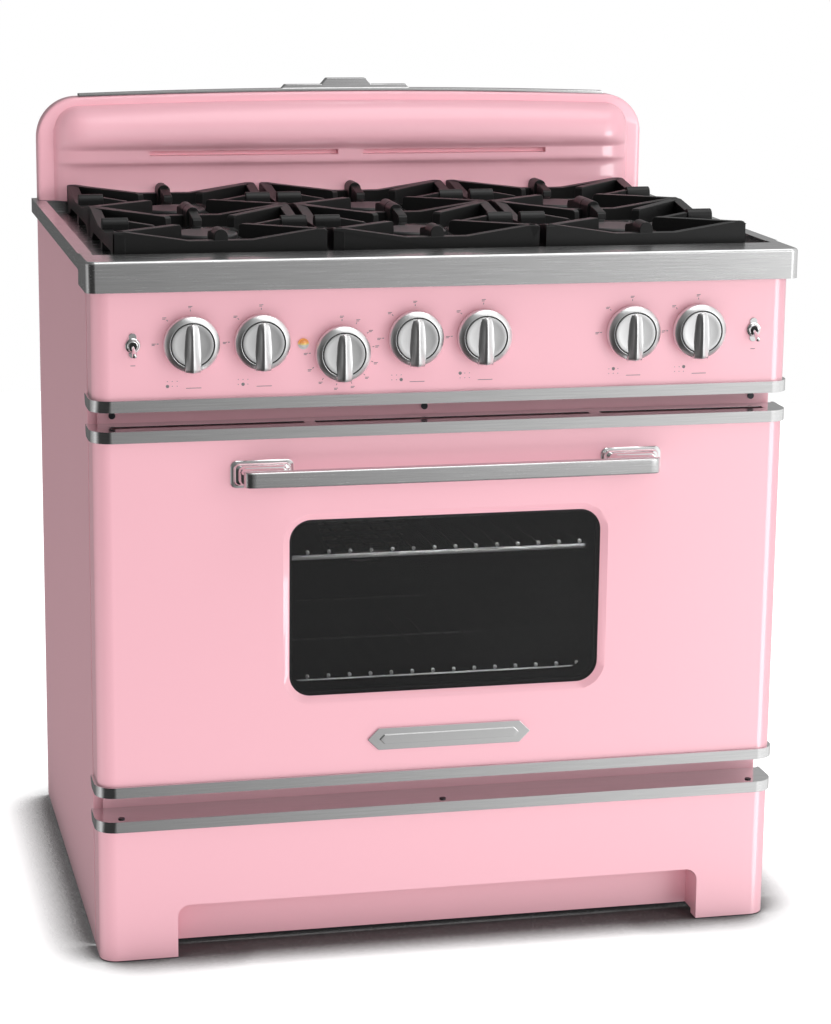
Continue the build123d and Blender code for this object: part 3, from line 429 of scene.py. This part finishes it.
class Shape:
    """Vertices and faces gathered from several simple solids."""

    def __init__(self):
        self.verts = []
        self.faces = []

    def add(self, verts, faces, place=None):
        start = len(self.verts)
        for vert in verts:
            self.verts.append(place @ Vector(vert) if place else Vector(vert))
        self.faces += [tuple(start + i for i in face) for face in faces]
        return self

    def rings(self, rings, place=None, closed_ends=True):
        """Skin over rings of equal point count, capped at both ends."""
        count = len(rings[0])
        verts = [point for ring in rings for point in ring]
        faces = []
        for level in range(len(rings) - 1):
            for i in range(count):
                j = (i + 1) % count
                a, b = level * count, (level + 1) * count
                faces.append((a + i, a + j, b + j, b + i))
        if closed_ends:
            faces.append(tuple(reversed(range(count))))
            faces.append(tuple(range((len(rings) - 1) * count, len(rings) * count)))
        return self.add(verts, faces, place)

    def lathe(self, profile, place=None, steps=48):
        """Solid turned about local Z from (radius, height) points."""
        rings = []
        for radius, height in profile:
            ring = []
            for i in range(steps):
                angle = 2 * math.pi * i / steps
                ring.append((radius * math.cos(angle), radius * math.sin(angle), height))
            rings.append(ring)
        return self.rings(rings, place)

    def prism(self, outline, thickness, place=None):
        """Solid from an outline in local XZ, centred on local Y."""
        front = [(x, -thickness / 2, z) for x, z in outline]
        rear = [(x, thickness / 2, z) for x, z in outline]
        return self.rings([front, rear], place)


def rounded_rect(half_w, half_h, r, steps=6):
    """Points round a rounded rectangle."""
    points = []
    for quarter, (sx, sy) in enumerate(((1, 1), (-1, 1), (-1, -1), (1, -1))):
        for step in range(steps + 1):
            angle = math.radians(90.0 * (quarter + step / steps))
            points.append((sx * (half_w - r) + r * math.cos(angle),
                           sy * (half_h - r) + r * math.sin(angle)))
    return points


def at(x, y, z, turn_z=0.0):
    return Matrix.Translation((x, y, z)) @ Matrix.Rotation(math.radians(turn_z), 4, "Z")


def facing_front(x, y, z):
    """Local Z points at the viewer in front, local Y points up."""
    return Matrix.Translation((x, y, z)) @ Matrix.Rotation(math.radians(90.0), 4, "X")


# ---------------------------------------------------------------- knobs
KNOB_R = 34.5 * MM
KNOB_PROFILE = (
    (0.0, 0.0), (33.6, 0.0), (34.5, 0.8), (34.5, 8.6), (34.0, 9.5), (28.6, 13.4), (28.0, 13.6),
    (27.6, 13.4), (27.4, 12.0), (26.2, 12.0), (26.0, 13.6), (25.6, 14.1), (24.6, 14.2), (21.0, 13.9),
    (15.0, 13.6), (8.0, 13.5), (0.01, 13.5),
)
GROOVE = ((26.2, 11.9), (27.5, 11.9), (27.5, 12.7), (26.2, 12.7))
# along the ridge from its upper end: position, half width, crest height
RIDGE_SECTIONS = (
    (25.9, 3.4, 14.2), (25.4, 4.2, 15.2), (24.0, 4.9, 16.8), (20.0, 5.3, 18.3), (12.0, 5.8, 19.6),
    (0.0, 6.5, 20.5), (-12.0, 7.3, 21.0), (-22.0, 8.1, 21.2), (-29.0, 8.8, 21.1),
    (-32.4, 9.1, 20.3), (-34.0, 9.1, 18.4), (-34.45, 8.9, 15.0),
)
RIDGE_FOOT = 5.5            # concave fillets where the ridge meets the face


def knob(name):
    """Turned knob with a bevelled ring, a groove, a dished face and a gabled ridge."""
    low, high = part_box(name)
    place = facing_front((low[0] + high[0]) / 2, high[1], (low[2] + high[2]) / 2)
    turned = Shape()
    turned.lathe([(r * MM, h * MM) for r, h in KNOB_PROFILE], place, 96)
    groove = Shape()
    groove.lathe([(r * MM, h * MM) for r, h in GROOVE], place, 96)
    rings = []
    for along, half, crest in RIDGE_SECTIONS:
        inside = max(0.0, 1.0 - (along / 25.0) ** 2)
        face = 13.5 + 0.7 * (1.0 - inside)
        foot = RIDGE_FOOT * math.sqrt(inside) + 0.3
        wall = min(crest - 0.5, face + 1.1) if inside > 0.0 else max(9.0, crest - 6.5)
        right = [(0.8, crest), (half * 0.5, crest - (crest - wall) * 0.44), (half, wall),
                 (half + foot * 0.25, wall - (wall - face + 0.2) * 0.5),
                 (half + foot * 0.6, wall - (wall - face + 0.2) * 0.88),
                 (half + foot, min(wall, face) - 0.3), (half + foot, 3.0)]
        ring = [(x, along, h) for x, h in right] + [(-x, along, h) for x, h in reversed(right)]
        rings.append([tuple(c * MM for c in point) for point in ring])
    ridge = Shape()
    ridge.rings(rings, place)
    body = frame["record"]["behaviour"]["bodies"]
    rider = next(key for key, members in body.items() if name in members)
    face_piece = piece_from(name + "_face", rider, "knob_metal", turned.verts, turned.faces)
    piece_from(name + "_groove", rider, "knob_metal", groove.verts, groove.faces,
               material=MATERIALS["black_plastic"])
    crest_piece = piece_from(name + "_ridge", rider, "knob_metal", ridge.verts, ridge.faces)
    shade(crest_piece, 60.0)
    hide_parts(name)


# ---------------------------------------------------------------- dial marks
MARK_PROUD = 0.12 * MM


def tick(shape, x, z, angle, length, width):
    """A thin bar on the panel, pointing away from a knob's centre."""
    turn = Matrix.Rotation(math.radians(angle), 4, "Z")
    place = facing_front(x, FRONT, z) @ turn
    half = width / 2
    ring = [(0.0, -half), (length, -half), (length, half), (0.0, half)]
    shape.rings([[(a, b, 0.0) for a, b in ring], [(a, b, MARK_PROUD) for a, b in ring]], place)


def dot(shape, x, z, r):
    """A thin round mark on the panel."""
    shape.lathe([(r, 0.0), (r, MARK_PROUD)], facing_front(x, FRONT, z), 20)


def dial_marks():
    """Generic ticks round every knob, a burner locator under each burner knob."""
    marks = Shape()
    burner = 0
    for name, kind in KNOBS.items():
        x, _, z = mid(name)
        angles = (90.0, 135.0, 180.0) if kind == "burner" else tuple(range(180, 451, 27))
        for angle in angles:
            away = Vector((math.cos(math.radians(angle)), math.sin(math.radians(angle))))
            start = KNOB_R + 5.0 * MM
            px, pz = x + away.x * start, z + away.y * start
            tick(marks, px, pz, angle, 2.2 * MM, 0.9 * MM)
            px, pz = x + away.x * (start + 6.0 * MM), z + away.y * (start + 6.0 * MM)
            tick(marks, px - 2.5 * MM, pz, 0.0, 5.0 * MM, 0.8 * MM)
            tick(marks, px - 2.5 * MM, pz - 1.6 * MM, 0.0, 3.6 * MM, 0.8 * MM)
        if kind == "burner":
            for slot in range(6):
                dx, dz = (slot % 3 - 1) * 6.0 * MM, (slot // 3) * 6.0 * MM
                r = 2.1 if slot == burner else 0.55
                dot(marks, x - 23.0 * MM + dx, z - 53.0 * MM + dz, r * MM)
            tick(marks, x - 6.0 * MM, z - 56.0 * MM, 0.0, 19.0 * MM, 0.7 * MM)
            burner += 1
    for name in ("light_lever", "fan_lever"):
        x = mid(name)[0]
        tick(marks, x - 3.0 * MM, SWITCH_Z - 25.0 * MM, 0.0, 6.0 * MM, 0.8 * MM)
    piece_from("dial_marks", "cabinet", "black_plastic", marks.verts, marks.faces,
               material=printed("dial_ink", 0.16))


# ---------------------------------------------------------------- toggle switches
def toggles():
    """Slotted plate, turned bush with a dark mouth, and a bat lever for each switch."""
    bushes, mouths = Shape(), Shape()
    for name in ("light_lever", "fan_lever"):
        x = mid(name)[0]
        place = facing_front(x, FRONT, SWITCH_Z)
        plate = rounded_rect(5.0 * MM, 15.5 * MM, 4.9 * MM, 8)
        bushes.rings([[(a, b, 0.0) for a, b in plate], [(a, b, 1.2 * MM) for a, b in plate],
                      [(a * 0.93, b * 0.975, 1.7 * MM) for a, b in plate]], place)
        bush = ((9.2, 1.0), (9.2, 2.4), (8.6, 3.0), (7.6, 3.2), (7.4, 4.6), (6.8, 5.3), (5.6, 5.3),
                (5.0, 4.7), (4.8, 2.0))
        bushes.lathe([(r * MM, h * MM) for r, h in bush], place, 48)
        mouths.lathe([(4.9 * MM, 2.0 * MM), (4.9 * MM, 2.6 * MM)], place, 32)
        lever = Shape()
        bat = ((2.0, 0.0), (2.2, 4.0), (2.0, 8.0), (2.2, 12.0), (2.8, 16.0), (3.0, 18.5), (2.6, 20.4),
               (1.4, 21.4), (0.05, 21.7))
        tilt = Matrix.Translation((x, FRONT - 3.0 * MM, SWITCH_Z)) @ Matrix.Rotation(
            math.radians(122.0), 4, "X")
        lever.lathe([(r * MM, h * MM) for r, h in bat], tilt, 32)
        bat_piece = piece_from(name + "_bat", name + "_body", "chrome_plate", lever.verts,
                               lever.faces)
        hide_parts(name)
    bush_piece = piece_from("switch_bushes", "cabinet", "chrome_plate", bushes.verts, bushes.faces)
    piece_from("switch_mouths", "cabinet", "black_plastic", mouths.verts, mouths.faces)
    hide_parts("switch_bodies")


# ---------------------------------------------------------------- door handle
def handle():
    """Stepped mounts and a flat-faced, slightly bowed bar with rounded ends."""
    z = mid("handle_bar")[2]
    steps = ((40.0, 17.5, 8.0, 0.0), (40.0, 17.5, 8.0, 2.0), (39.2, 16.7, 7.6, 2.9),
             (36.4, 14.4, 7.0, 3.2), (35.6, 13.6, 6.6, 4.2), (35.0, 13.0, 6.4, 6.6),
             (34.0, 12.2, 6.2, 7.8), (31.0, 11.2, 6.0, 9.2), (29.0, 10.4, 6.0, 14.0),
             (28.0, 9.6, 6.0, 31.0))
    mounts = Shape()
    for side in (-1, 1):
        rings = []
        for half_w, half_h, r, depth in steps:
            ring = rounded_rect(half_w * MM, half_h * MM, r * MM, 8)
            rings.append([(a, b, depth * MM) for a, b in ring])
        mounts.rings(rings, facing_front(side * 240.0 * MM, FRONT, z))
    mount_piece = piece_from("handle_feet", "door", "chrome_plate", mounts.verts, mounts.faces)
    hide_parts("handle_mounts")
    stations, rings = 48, []
    half_len, end_r = 268.0, 9.0
    for i in range(stations + 1):
        # stations crowd at both ends, where the corners are round
        t = -math.cos(math.pi * i / stations)
        x = half_len * t
        inset = max(0.0, abs(x) - (half_len - end_r))
        corner = end_r - math.sqrt(max(0.0, end_r ** 2 - inset ** 2))
        front = 45.0 - 1.6 * t * t - corner
        ring = rounded_rect((front - 30.0) / 2 * MM, 10.1 * MM, min(2.6, (front - 30.0) / 2.2) * MM, 5)
        centre = (front + 30.0) / 2 * MM
        rings.append([(x * MM, FRONT - centre + a, z + b) for a, b in ring])
    bar = Shape()
    bar.rings(rings)
    bar_piece = piece_from("handle_grip", "door", "stainless", bar.verts, bar.faces)
    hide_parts("handle_bar")


# ---------------------------------------------------------------- door window
def window():
    """Outer tinted pane with its dark printed border, and a clearer inner pane."""
    low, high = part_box("door_panes")
    x, z = (low[0] + high[0]) / 2, (low[2] + high[2]) / 2
    outer_face = low[1]
    half_w, half_h = (high[0] - low[0]) / 2, (high[2] - low[2]) / 2
    outline = rounded_rect(half_w, half_h, 30.0 * MM, 10)
    pane = Shape()
    place = facing_front(x, outer_face, z)
    pane.rings([[(a, b, -4.0 * MM) for a, b in outline], [(a, b, 0.0) for a, b in outline]], place)
    outer = piece_from("outer_pane", "door", "oven_glass", pane.verts, pane.faces)
    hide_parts("door_panes")
    border = Shape()
    inner_line = rounded_rect(half_w - 22.0 * MM, half_h - 22.0 * MM, 22.0 * MM, 10)
    front = [(a, b, -4.3 * MM) for a, b in outline]
    hole = [(a, b, -4.3 * MM) for a, b in inner_line]
    border.rings([front, hole], place, closed_ends=False)
    piece_from("printed_border", "door", "black_plastic", border.verts, border.faces,
               material=printed("border_ink", 0.012))
    inner = Shape()
    rear_line = rounded_rect(half_w - 14.0 * MM, half_h - 14.0 * MM, 20.0 * MM, 10)
    y = high[1]
    inner.rings([[(a, b, 0.0) for a, b in rear_line], [(a, b, 4.0 * MM) for a, b in rear_line]],
                facing_front(x, y, z))
    piece_from("inner_pane", "door", "oven_glass", inner.verts, inner.faces,
               material=clear_glass())


# ---------------------------------------------------------------- oven racks
def tube(shape, start, end, r, steps=14):
    """Round bar with domed ends."""
    start, end = Vector(start), Vector(end)
    turn = (end - start).to_track_quat("Z", "X").to_matrix().to_4x4()
    place = Matrix.Translation(start) @ turn
    length = (end - start).length
    profile = [(0.02 * r, 0.0), (0.6 * r, 0.12 * r), (0.92 * r, 0.4 * r), (r, 0.9 * r),
               (r, length - 0.9 * r), (0.92 * r, length - 0.4 * r), (0.6 * r, length - 0.12 * r),
               (0.02 * r, length)]
    shape.lathe(profile, place, steps)


def rack(name):
    """Wire rack: heavy rods round it and thin wires that lie on the front and rear rods."""
    low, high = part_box(name)
    r = 3.5 * MM
    x0, x1 = low[0] + r, high[0] - r
    y0, y1 = low[1] + r, high[1] - r
    z = high[2] - r
    front, wires = Shape(), Shape()
    tube(front, (x0 - r, y0, z), (x1 + r, y0, z), 2.9 * MM)
    tube(wires, (x0 - r, y1, z), (x1 + r, y1, z), r)
    for x in (x0, x1):
        tube(wires, (x, y0, z), (x, y1, z), r * 0.9)
    tube(wires, (x0, (y0 + y1) / 2, z - 1.2 * MM), (x1, (y0 + y1) / 2, z - 1.2 * MM), 2.6 * MM)
    for n in range(-12, 13):
        x = 28.0 * MM * n
        tube(wires, (x, y0 + 1.0 * MM, z + 4.6 * MM), (x, y1 + 1.5 * MM, z + 4.6 * MM), 1.8 * MM)
        tube(front, (x, y0 - 3.0 * MM, z + 6.8 * MM), (x, y0 + 2.4 * MM, z + 6.8 * MM), 2.4 * MM)
    piece = piece_from(name + "_wires", name + "_body", "chrome_wire", wires.verts, wires.faces)
    # the front rod and the wire ends take the near-white copy of the wire, a painted highlight that
    # makes them read lit through the glass
    piece_from(name + "_front", name + "_body", "chrome_wire", front.verts, front.faces,
               material=MATERIALS["painted_lit_wire"])
    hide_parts(name)


# ---------------------------------------------------------------- grates
BAR = 14.0 * MM


def ease(points, steps=6):
    """Replaces each straight run marked 's' by an S-shaped one."""
    out = []
    for index, (x, z, mark) in enumerate(points):
        if mark == "s":
            px, pz = points[index - 1][:2]
            for step in range(1, steps):
                t = step / steps
                s = (1 - math.cos(math.pi * t)) / 2
                out.append((px + (x - px) * t, pz + (z - pz) * s))
        out.append((x, z))
    return [(x * MM, z * MM) for x, z in out]


def bar_outline(length, top, low, foot, under):
    """Side view of a frame bar: raised ends, low middle, curved feet and a middle foot."""
    half = length / 2
    points = [
        (-half, foot, ""), (-half, top - 2.0, ""), (-half + 2.5, top, ""),
        (-half + 12.0, top, ""), (-half * 0.30, low, ""), (half * 0.30, low, ""),
        (half - 12.0, top, ""), (half - 2.5, top, ""), (half, top - 2.0, ""), (half, foot, ""),
        (half - 20.0, foot, ""), (half - 46.0, under, "s"), (9.5, under, ""), (9.5, foot, ""),
        (-9.5, foot, ""), (-9.5, under, ""), (-half + 46.0, under, ""), (-half + 20.0, foot, "s"),
    ]
    return ease(points)


def lug_outline(half, base, top):
    """End view of a round-topped lug."""
    points = [(-half, base), (half, base)]
    for step in range(9):
        angle = math.pi * step / 8
        points.append((half * math.cos(angle), top - half + half * math.sin(angle)))
    return [(x * MM, z * MM) for x, z in points]


def grate(name):
    """Cast grate over two burners: frame bars, lugs, corner fingers and middle fingers."""
    low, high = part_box(name)
    x_mid = (low[0] + high[0]) / 2
    half_w = (high[0] - low[0]) / 2 - BAR / 2
    cell = (high[1] - low[1]) / 2
    foot, top = low[2] / MM, high[2] / MM - 1.6
    iron = Shape()
    width = (high[0] - low[0]) / MM
    across = bar_outline(width, top, top - 12.5, foot, 900.5)
    along = bar_outline(cell / MM, top, top - 12.5, foot, 900.5)
    for y in (low[1] + BAR / 2, (low[1] + high[1]) / 2, high[1] - BAR / 2):
        iron.prism(across, BAR, at(x_mid, y, 0.0))
    for row in (0, 1):
        y_mid = low[1] + cell * (row + 0.5)
        for side in (-1, 1):
            iron.prism(along, BAR, at(x_mid + side * half_w, y_mid, 0.0, 90.0))
        half_l = cell / 2 - BAR / 2
        for quarter in range(4):
            straight = half_w if quarter % 2 == 0 else half_l
            out = straight / MM + 6.5
            lug = lug_outline(8.8, 897.0, top + 1.4)
            iron.prism(lug, 34.0 * MM,
                       at(x_mid, y_mid, 0.0, 90.0 * quarter) @ at((out - 17.0) * MM, 0, 0, 90.0))
            reach = (62.0 * MM, (out - 30.0) * MM)
            finger(iron, x_mid, y_mid, 90.0 * quarter, reach, top - 9.0, top - 2.5)
            sx, sy = ((1, 1), (-1, 1), (-1, -1), (1, -1))[quarter]
            angle = math.degrees(math.atan2(sy * half_l, sx * half_w))
            finger(iron, x_mid, y_mid, angle, (58.0 * MM, math.hypot(half_w, half_l)),
                   top - 3.0, top)
    piece = piece_from(name + "_casting", name + "_body", "grate_iron", iron.verts, iron.faces,
                       2.4 * MM, 3)
    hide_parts(name)


def finger(shape, x, y, angle, reach, top_in, top_out):
    """Tapering rib from its inner end to the frame, with a sloping tip."""
    inner, outer = reach[0] / MM, reach[1] / MM
    base = 905.0
    side = [(inner, base + 6.0), (inner + 1.0, top_in - 2.5), (inner + 4.0, top_in),
            (outer, top_out), (outer, base), (inner + 12.0, base)]
    place = at(x, y, 0.0, angle)
    shape.prism([(a * MM, b * MM) for a, b in side], 12.0 * MM, place)


# ---------------------------------------------------------------- backguard
GUARD_R = 58.0              # upper corners
GUARD_RIM = 655.0           # flat rim's distance behind the front panels
GUARD_SIDE = 425.0          # the pressed middle ends here
GUARD_FADE = 46.0           # and runs out into the rim over this length
BROW_R = 34.0
SLIT = (19.0, 293.0, 968.8, 975.6)
# the pressed middle in side view: distance behind the front panels, height
GUARD_FRONT = (
    (630.5, 904.6), (630.6, 907.0), (631.4, 912.0), (633.2, 917.0), (634.6, 922.0), (635.0, 927.0),
    (635.0, 946.0), (634.4, 951.0), (632.4, 954.4), (629.0, 956.4), (626.6, 958.0), (625.4, 960.6),
    (625.2, 964.0), (625.2, 968.6), (625.2, 969.0), (625.2, 975.4), (625.2, 975.8), (624.0, 978.2),
    (619.6, 980.8), (614.6, 984.4), (611.2, 989.4), (609.8, 996.0), (609.8, 1003.0), (611.0, 1011.0),
    (613.6, 1019.0), (618.2, 1027.0), (625.0, 1034.6), (634.0, 1040.4), (644.0, 1043.8),
    (655.0, 1045.0),
)


GUARD_RISE = 6.5                            # the crown's height over its ends
GUARD_EDGE_R = 6.0                          # roundness of the sheet's outer side edges
GUARD_LIP_R = 5.0                           # roundness of the edge along the top
BROW_FOOT, BROW_CREST = 978.0, 1045.0       # heights between which the brow is stretched to fit
BROW_DROP = 12.0                            # the brow's top under the outline
BROW_CLEAR = 7.5                            # least flat rim left above the brow
SLIT_DEPTH = 13.0                           # how far the vent slits go in


def guard_top(x, top, rise):
    """Height of the backguard's outline at this distance from the middle."""
    flat = HALF - GUARD_R
    if x <= flat:
        return top - rise * (x / flat) ** 2
    return top - rise - GUARD_R + math.sqrt(max(0.0, GUARD_R ** 2 - (x - flat) ** 2))


def guard_stations():
    """Distances from the middle, crowded where the shape turns."""
    near, far = SLIT[:2]
    stations = [0.0, near - 0.6, near, far, far + 0.6]
    stations += [near + (far - near) * n / 16 for n in range(1, 16)]
    stations += [far + 8.0 * n for n in range(1, 11)]
    stations += [378.0 + GUARD_FADE * math.sin(math.pi / 2 * n / 22) for n in range(23)]
    stations += [GUARD_SIDE + 2.0 * n for n in range(1, 10)]
    stations += [HALF - GUARD_EDGE_R + GUARD_EDGE_R * math.sin(math.pi / 2 * n / 8) for n in range(9)]
    return sorted({round(x, 3) for x in stations})


def guard_section(x, top, rise, base):
    """Loop of (depth, height) points round the sheet at this distance from the middle."""
    near, far, slit_low, slit_high = SLIT
    run = max(0.0, x - (GUARD_SIDE - GUARD_FADE))
    proud = math.sqrt(max(0.0, 1.0 - (run / GUARD_FADE) ** 2)) if run < GUARD_FADE else 0.0
    outline = guard_top(x, top, rise)
    brow_flat = GUARD_SIDE - BROW_R
    brow_side = min(max(x, brow_flat), GUARD_SIDE) - brow_flat
    brow = guard_top(min(x, brow_flat), top, rise) - BROW_DROP
    brow -= BROW_R - math.sqrt(BROW_R ** 2 - brow_side ** 2)
    brow = min(brow, outline - BROW_CLEAR)
    side = max(0.0, x - (HALF - GUARD_EDGE_R))
    edge = GUARD_EDGE_R - math.sqrt(max(0.0, GUARD_EDGE_R ** 2 - side ** 2))
    loop = []
    for depth, height in GUARD_FRONT:
        if height > BROW_FOOT:
            height = BROW_FOOT + (height - BROW_FOOT) * (brow - BROW_FOOT) / (BROW_CREST - BROW_FOOT)
        depth = GUARD_RIM + edge + (depth - GUARD_RIM) * proud
        if near <= x <= far and slit_low < height < slit_high:
            depth += SLIT_DEPTH
        loop.append((depth, height))
    for step in range(5):
        angle = math.pi / 2 * step / 4
        loop.append((GUARD_RIM + edge + GUARD_LIP_R * (1 - math.cos(angle)),
                     outline - GUARD_LIP_R * (1 - math.sin(angle))))
    rear = (BACK - FRONT) / MM
    loop += [(rear - 3.0, outline), (rear - 0.8, outline - 0.8), (rear, outline - 3.0), (rear, base)]
    return loop


def backguard():
    """Pressed sheet with a brow that dies out into a flat rim, a lip, vent slits and a foot cove."""
    low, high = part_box("backguard")
    base, top = low[2] / MM, high[2] / MM
    half_stations = guard_stations()
    rings = []
    for x in [-x for x in reversed(half_stations[1:])] + half_stations:
        loop = guard_section(abs(x), top, GUARD_RISE, base)
        rings.append([(x * MM, FRONT + depth * MM, height * MM) for depth, height in loop])
    shell = Shape()
    shell.rings(rings)
    piece = piece_from("backguard_shell", "cabinet", "paint", shell.verts, shell.faces)
    shade(piece, 40.0)
    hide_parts("backguard")


# ---------------------------------------------------------------- stage
def camera():
    """Camera at its fitted place, from its yaw, pitch and roll."""
    yaw, pitch, roll = (math.radians(a) for a in (CAMERA_YAW, CAMERA_PITCH, CAMERA_ROLL))
    level_forward = Vector((math.sin(yaw), math.cos(yaw), 0.0))
    level_right = Vector((math.cos(yaw), -math.sin(yaw), 0.0))
    up = Vector((0.0, 0.0, 1.0))
    forward = level_forward * math.cos(pitch) - up * math.sin(pitch)
    tilted_up = up * math.cos(pitch) + level_forward * math.sin(pitch)
    right = level_right * math.cos(roll) + tilted_up * math.sin(roll)
    top = tilted_up * math.cos(roll) - level_right * math.sin(roll)
    data = bpy.data.cameras.new("camera")
    data.lens = CAMERA_LENS
    data.sensor_width = SENSOR
    data.sensor_fit = "AUTO"
    eye = bpy.data.objects.new("camera", data)
    rotation = Matrix((right, top, -forward)).transposed().to_4x4()
    eye.matrix_world = Matrix.Translation(Vector(CAMERA_AT)) @ rotation
    bpy.context.scene.collection.objects.link(eye)
    bpy.context.scene.camera = eye


def softbox(name, at, toward, size, power, mirrored=True, matt=True, only=None):
    """Area light that can be left out of reflections or matt light, or light only some pieces."""
    data = bpy.data.lights.new(name, "AREA")
    data.shape = "RECTANGLE"
    data.size, data.size_y = size
    data.energy = power
    lamp = bpy.data.objects.new(name, data)
    direction = Vector(toward) - Vector(at)
    lamp.rotation_euler = direction.to_track_quat("-Z", "Y").to_euler()
    lamp.location = at
    lamp.visible_glossy = mirrored
    lamp.visible_diffuse = matt
    bpy.context.scene.collection.objects.link(lamp)
    if only is not None:
        lit = bpy.data.collections.new(name + "_lights")
        for piece in only:
            lit.objects.link(piece)
        lamp.light_linking.receiver_collection = lit


def direction_levels(tree, turn, stops):
    """Brightness by direction round the range."""
    return ramp(tree, turn, [((degrees + 180.0) / 360.0, grey(level)) for degrees, level in stops])


MIX_FIRST, MIX_SECOND, MIX_RESULT = 6, 7, 2     # the mix node's colour sockets, whose names repeat


def blend(tree, factor, first, second):
    """Colour that goes from first to second as factor goes from 0 to 1."""
    node = add(tree, "ShaderNodeMix", data_type="RGBA")
    tree.links.new(factor, node.inputs["Factor"])
    tree.links.new(first, node.inputs[MIX_FIRST])
    tree.links.new(second, node.inputs[MIX_SECOND])
    return node.outputs[MIX_RESULT]


def climb(tree, z, start, end):
    """0 to 1 as the direction's height goes from start to end."""
    node = add(tree, "ShaderNodeMapRange", interpolation_type="SMOOTHSTEP")
    node.inputs["From Min"].default_value = start
    node.inputs["From Max"].default_value = end
    tree.links.new(z, node.inputs["Value"])
    return node.outputs["Result"]


def studio():
    """White behind everything, dark cards at the left front, bright ones at the right."""
    world = bpy.data.worlds.new("studio")
    bpy.context.scene.world = world
    world.use_nodes = True
    tree = world.node_tree
    background = tree.nodes["Background"]
    coords = add(tree, "ShaderNodeTexCoord")
    split = add(tree, "ShaderNodeSeparateXYZ")
    tree.links.new(coords.outputs["Generated"], split.inputs["Vector"])
    flip = add(tree, "ShaderNodeMath", operation="MULTIPLY")
    flip.inputs[1].default_value = -1.0
    tree.links.new(split.outputs["Y"], flip.inputs[0])
    azimuth = add(tree, "ShaderNodeMath", operation="ARCTAN2")
    tree.links.new(split.outputs["X"], azimuth.inputs[0])
    tree.links.new(flip.outputs[0], azimuth.inputs[1])
    around = add(tree, "ShaderNodeMapRange")
    around.inputs["From Min"].default_value = -math.pi
    around.inputs["From Max"].default_value = math.pi
    tree.links.new(azimuth.outputs[0], around.inputs["Value"])
    turn, z = around.outputs["Result"], split.outputs["Z"]
    low, level, high, fill = (direction_levels(tree, turn, stops) for stops in
                              (MIRROR_LOW, MIRROR_LEVEL, MIRROR_HIGH, FILL_LEVEL))
    mirrored = blend(tree, climb(tree, z, -0.65, -0.38), low, level)
    mirrored = blend(tree, climb(tree, z, 0.05, 0.55), mirrored, high)
    top = add(tree, "ShaderNodeRGB")
    top.outputs[0].default_value = grey(FILL_TOP)
    filled = blend(tree, climb(tree, z, 0.0, 1.0), fill, top.outputs[0])
    ray = add(tree, "ShaderNodeLightPath")
    unseen = blend(tree, ray.outputs["Is Diffuse Ray"], mirrored, filled)
    white = add(tree, "ShaderNodeRGB")
    white.outputs[0].default_value = grey(1.0)
    shown = blend(tree, ray.outputs["Is Camera Ray"], unseen, white.outputs[0])
    tree.links.new(shown, background.inputs["Color"])
    softbox("key", (2.3, -2.9, 1.5), (0.1, -0.2, 0.5), (1.7, 2.1), 24.0)
    softbox("top", (0.5, -0.5, 3.0), (0.0, 0.0, 0.9), (2.0, 1.6), 20.0)
    softbox("fill", (-0.3, -4.2, 1.4), (0.0, -0.3, 0.4), (2.6, 1.8), 22.5, mirrored=False)
    view = bpy.context.scene.view_settings
    view.view_transform = "Standard"
    view.look = "None"


def paint_lights():
    """A soft card that only the paint mirrors, and lights for only the backguard or rack fronts."""
    painted = [piece for piece in bpy.data.objects if piece.type == "MESH" and piece.data.materials
               and piece.data.materials[0] == MATERIALS["paint"]]
    softbox("sheen", (2.6, -3.0, -0.1), (0.3, -0.3, 0.5), (2.0, 2.2), 110.0, matt=False,
            only=painted)
    shell = [bpy.data.objects["backguard_shell"]]
    softbox("guard_fill", (-0.1, -1.1, 1.3), (0.0, 0.3, 0.95), (1.6, 0.5), 7.0, mirrored=False,
            only=shell)
    fronts = [bpy.data.objects[level + "_front"] for level in ("upper_rack", "lower_rack")]
    softbox("oven_light", (0.1, FRONT + 45.0 * MM, 0.62), (0.1, FRONT + 75.0 * MM, 0.3),
            (0.5, 0.03), 2.5, mirrored=False, only=fronts)


FLOOR_R = 3.4
FLOOR_MIDDLE_Y = 0.35
# reach of the painted contact shadow on the floor
CONTACT_REACH = 0.11                        # how near the range has to be to darken the floor


def floor():
    """Wide pale floor that glows white, with a painted contact shadow: its glow and colour go dark
    where the range stands close above it. It is in no reflection.
    """
    disc = Shape()
    disc.lathe([(FLOOR_R, -0.01), (FLOOR_R, 0.0)], at(0.0, FLOOR_MIDDLE_Y, 0.0), 128)
    mesh = bpy.data.meshes.new("floor")
    mesh.from_pydata(disc.verts, [], disc.faces)
    ground = bpy.data.objects.new("floor", mesh)
    bpy.context.scene.collection.objects.link(ground)
    material, tree, bsdf = surface("pale_floor", Roughness=0.8, Emission_Strength=1.0)
    open_sky = add(tree, "ShaderNodeAmbientOcclusion", samples=8)
    open_sky.inputs["Distance"].default_value = CONTACT_REACH
    # painted contact shadow: the floor's glow fades where the range stands close above it
    glow_outside_painted_shadow = ramp(tree, open_sky.outputs["AO"], [(0.58, grey(0.0)), (0.95, grey(1.2))])
    tree.links.new(glow_outside_painted_shadow, bsdf.inputs["Emission Color"])
    # painted contact shadow: the floor's colour darkens there too
    tone = ramp(tree, open_sky.outputs["AO"], [(0.50, grey(0.05)), (0.95, grey(0.30))])
    tree.links.new(tone, bsdf.inputs["Base Color"])
    mesh.materials.append(material)
    ground.visible_glossy = False
    ground.visible_shadow = False


camera()
studio()
floor()
dress_cad()
for knob_name in KNOBS:
    knob(knob_name)
for grate_name in GRATES:
    grate(grate_name)
for rack_name in ("upper_rack", "lower_rack"):
    rack(rack_name)
dial_marks()
toggles()
handle()
window()
backguard()
paint_lights()
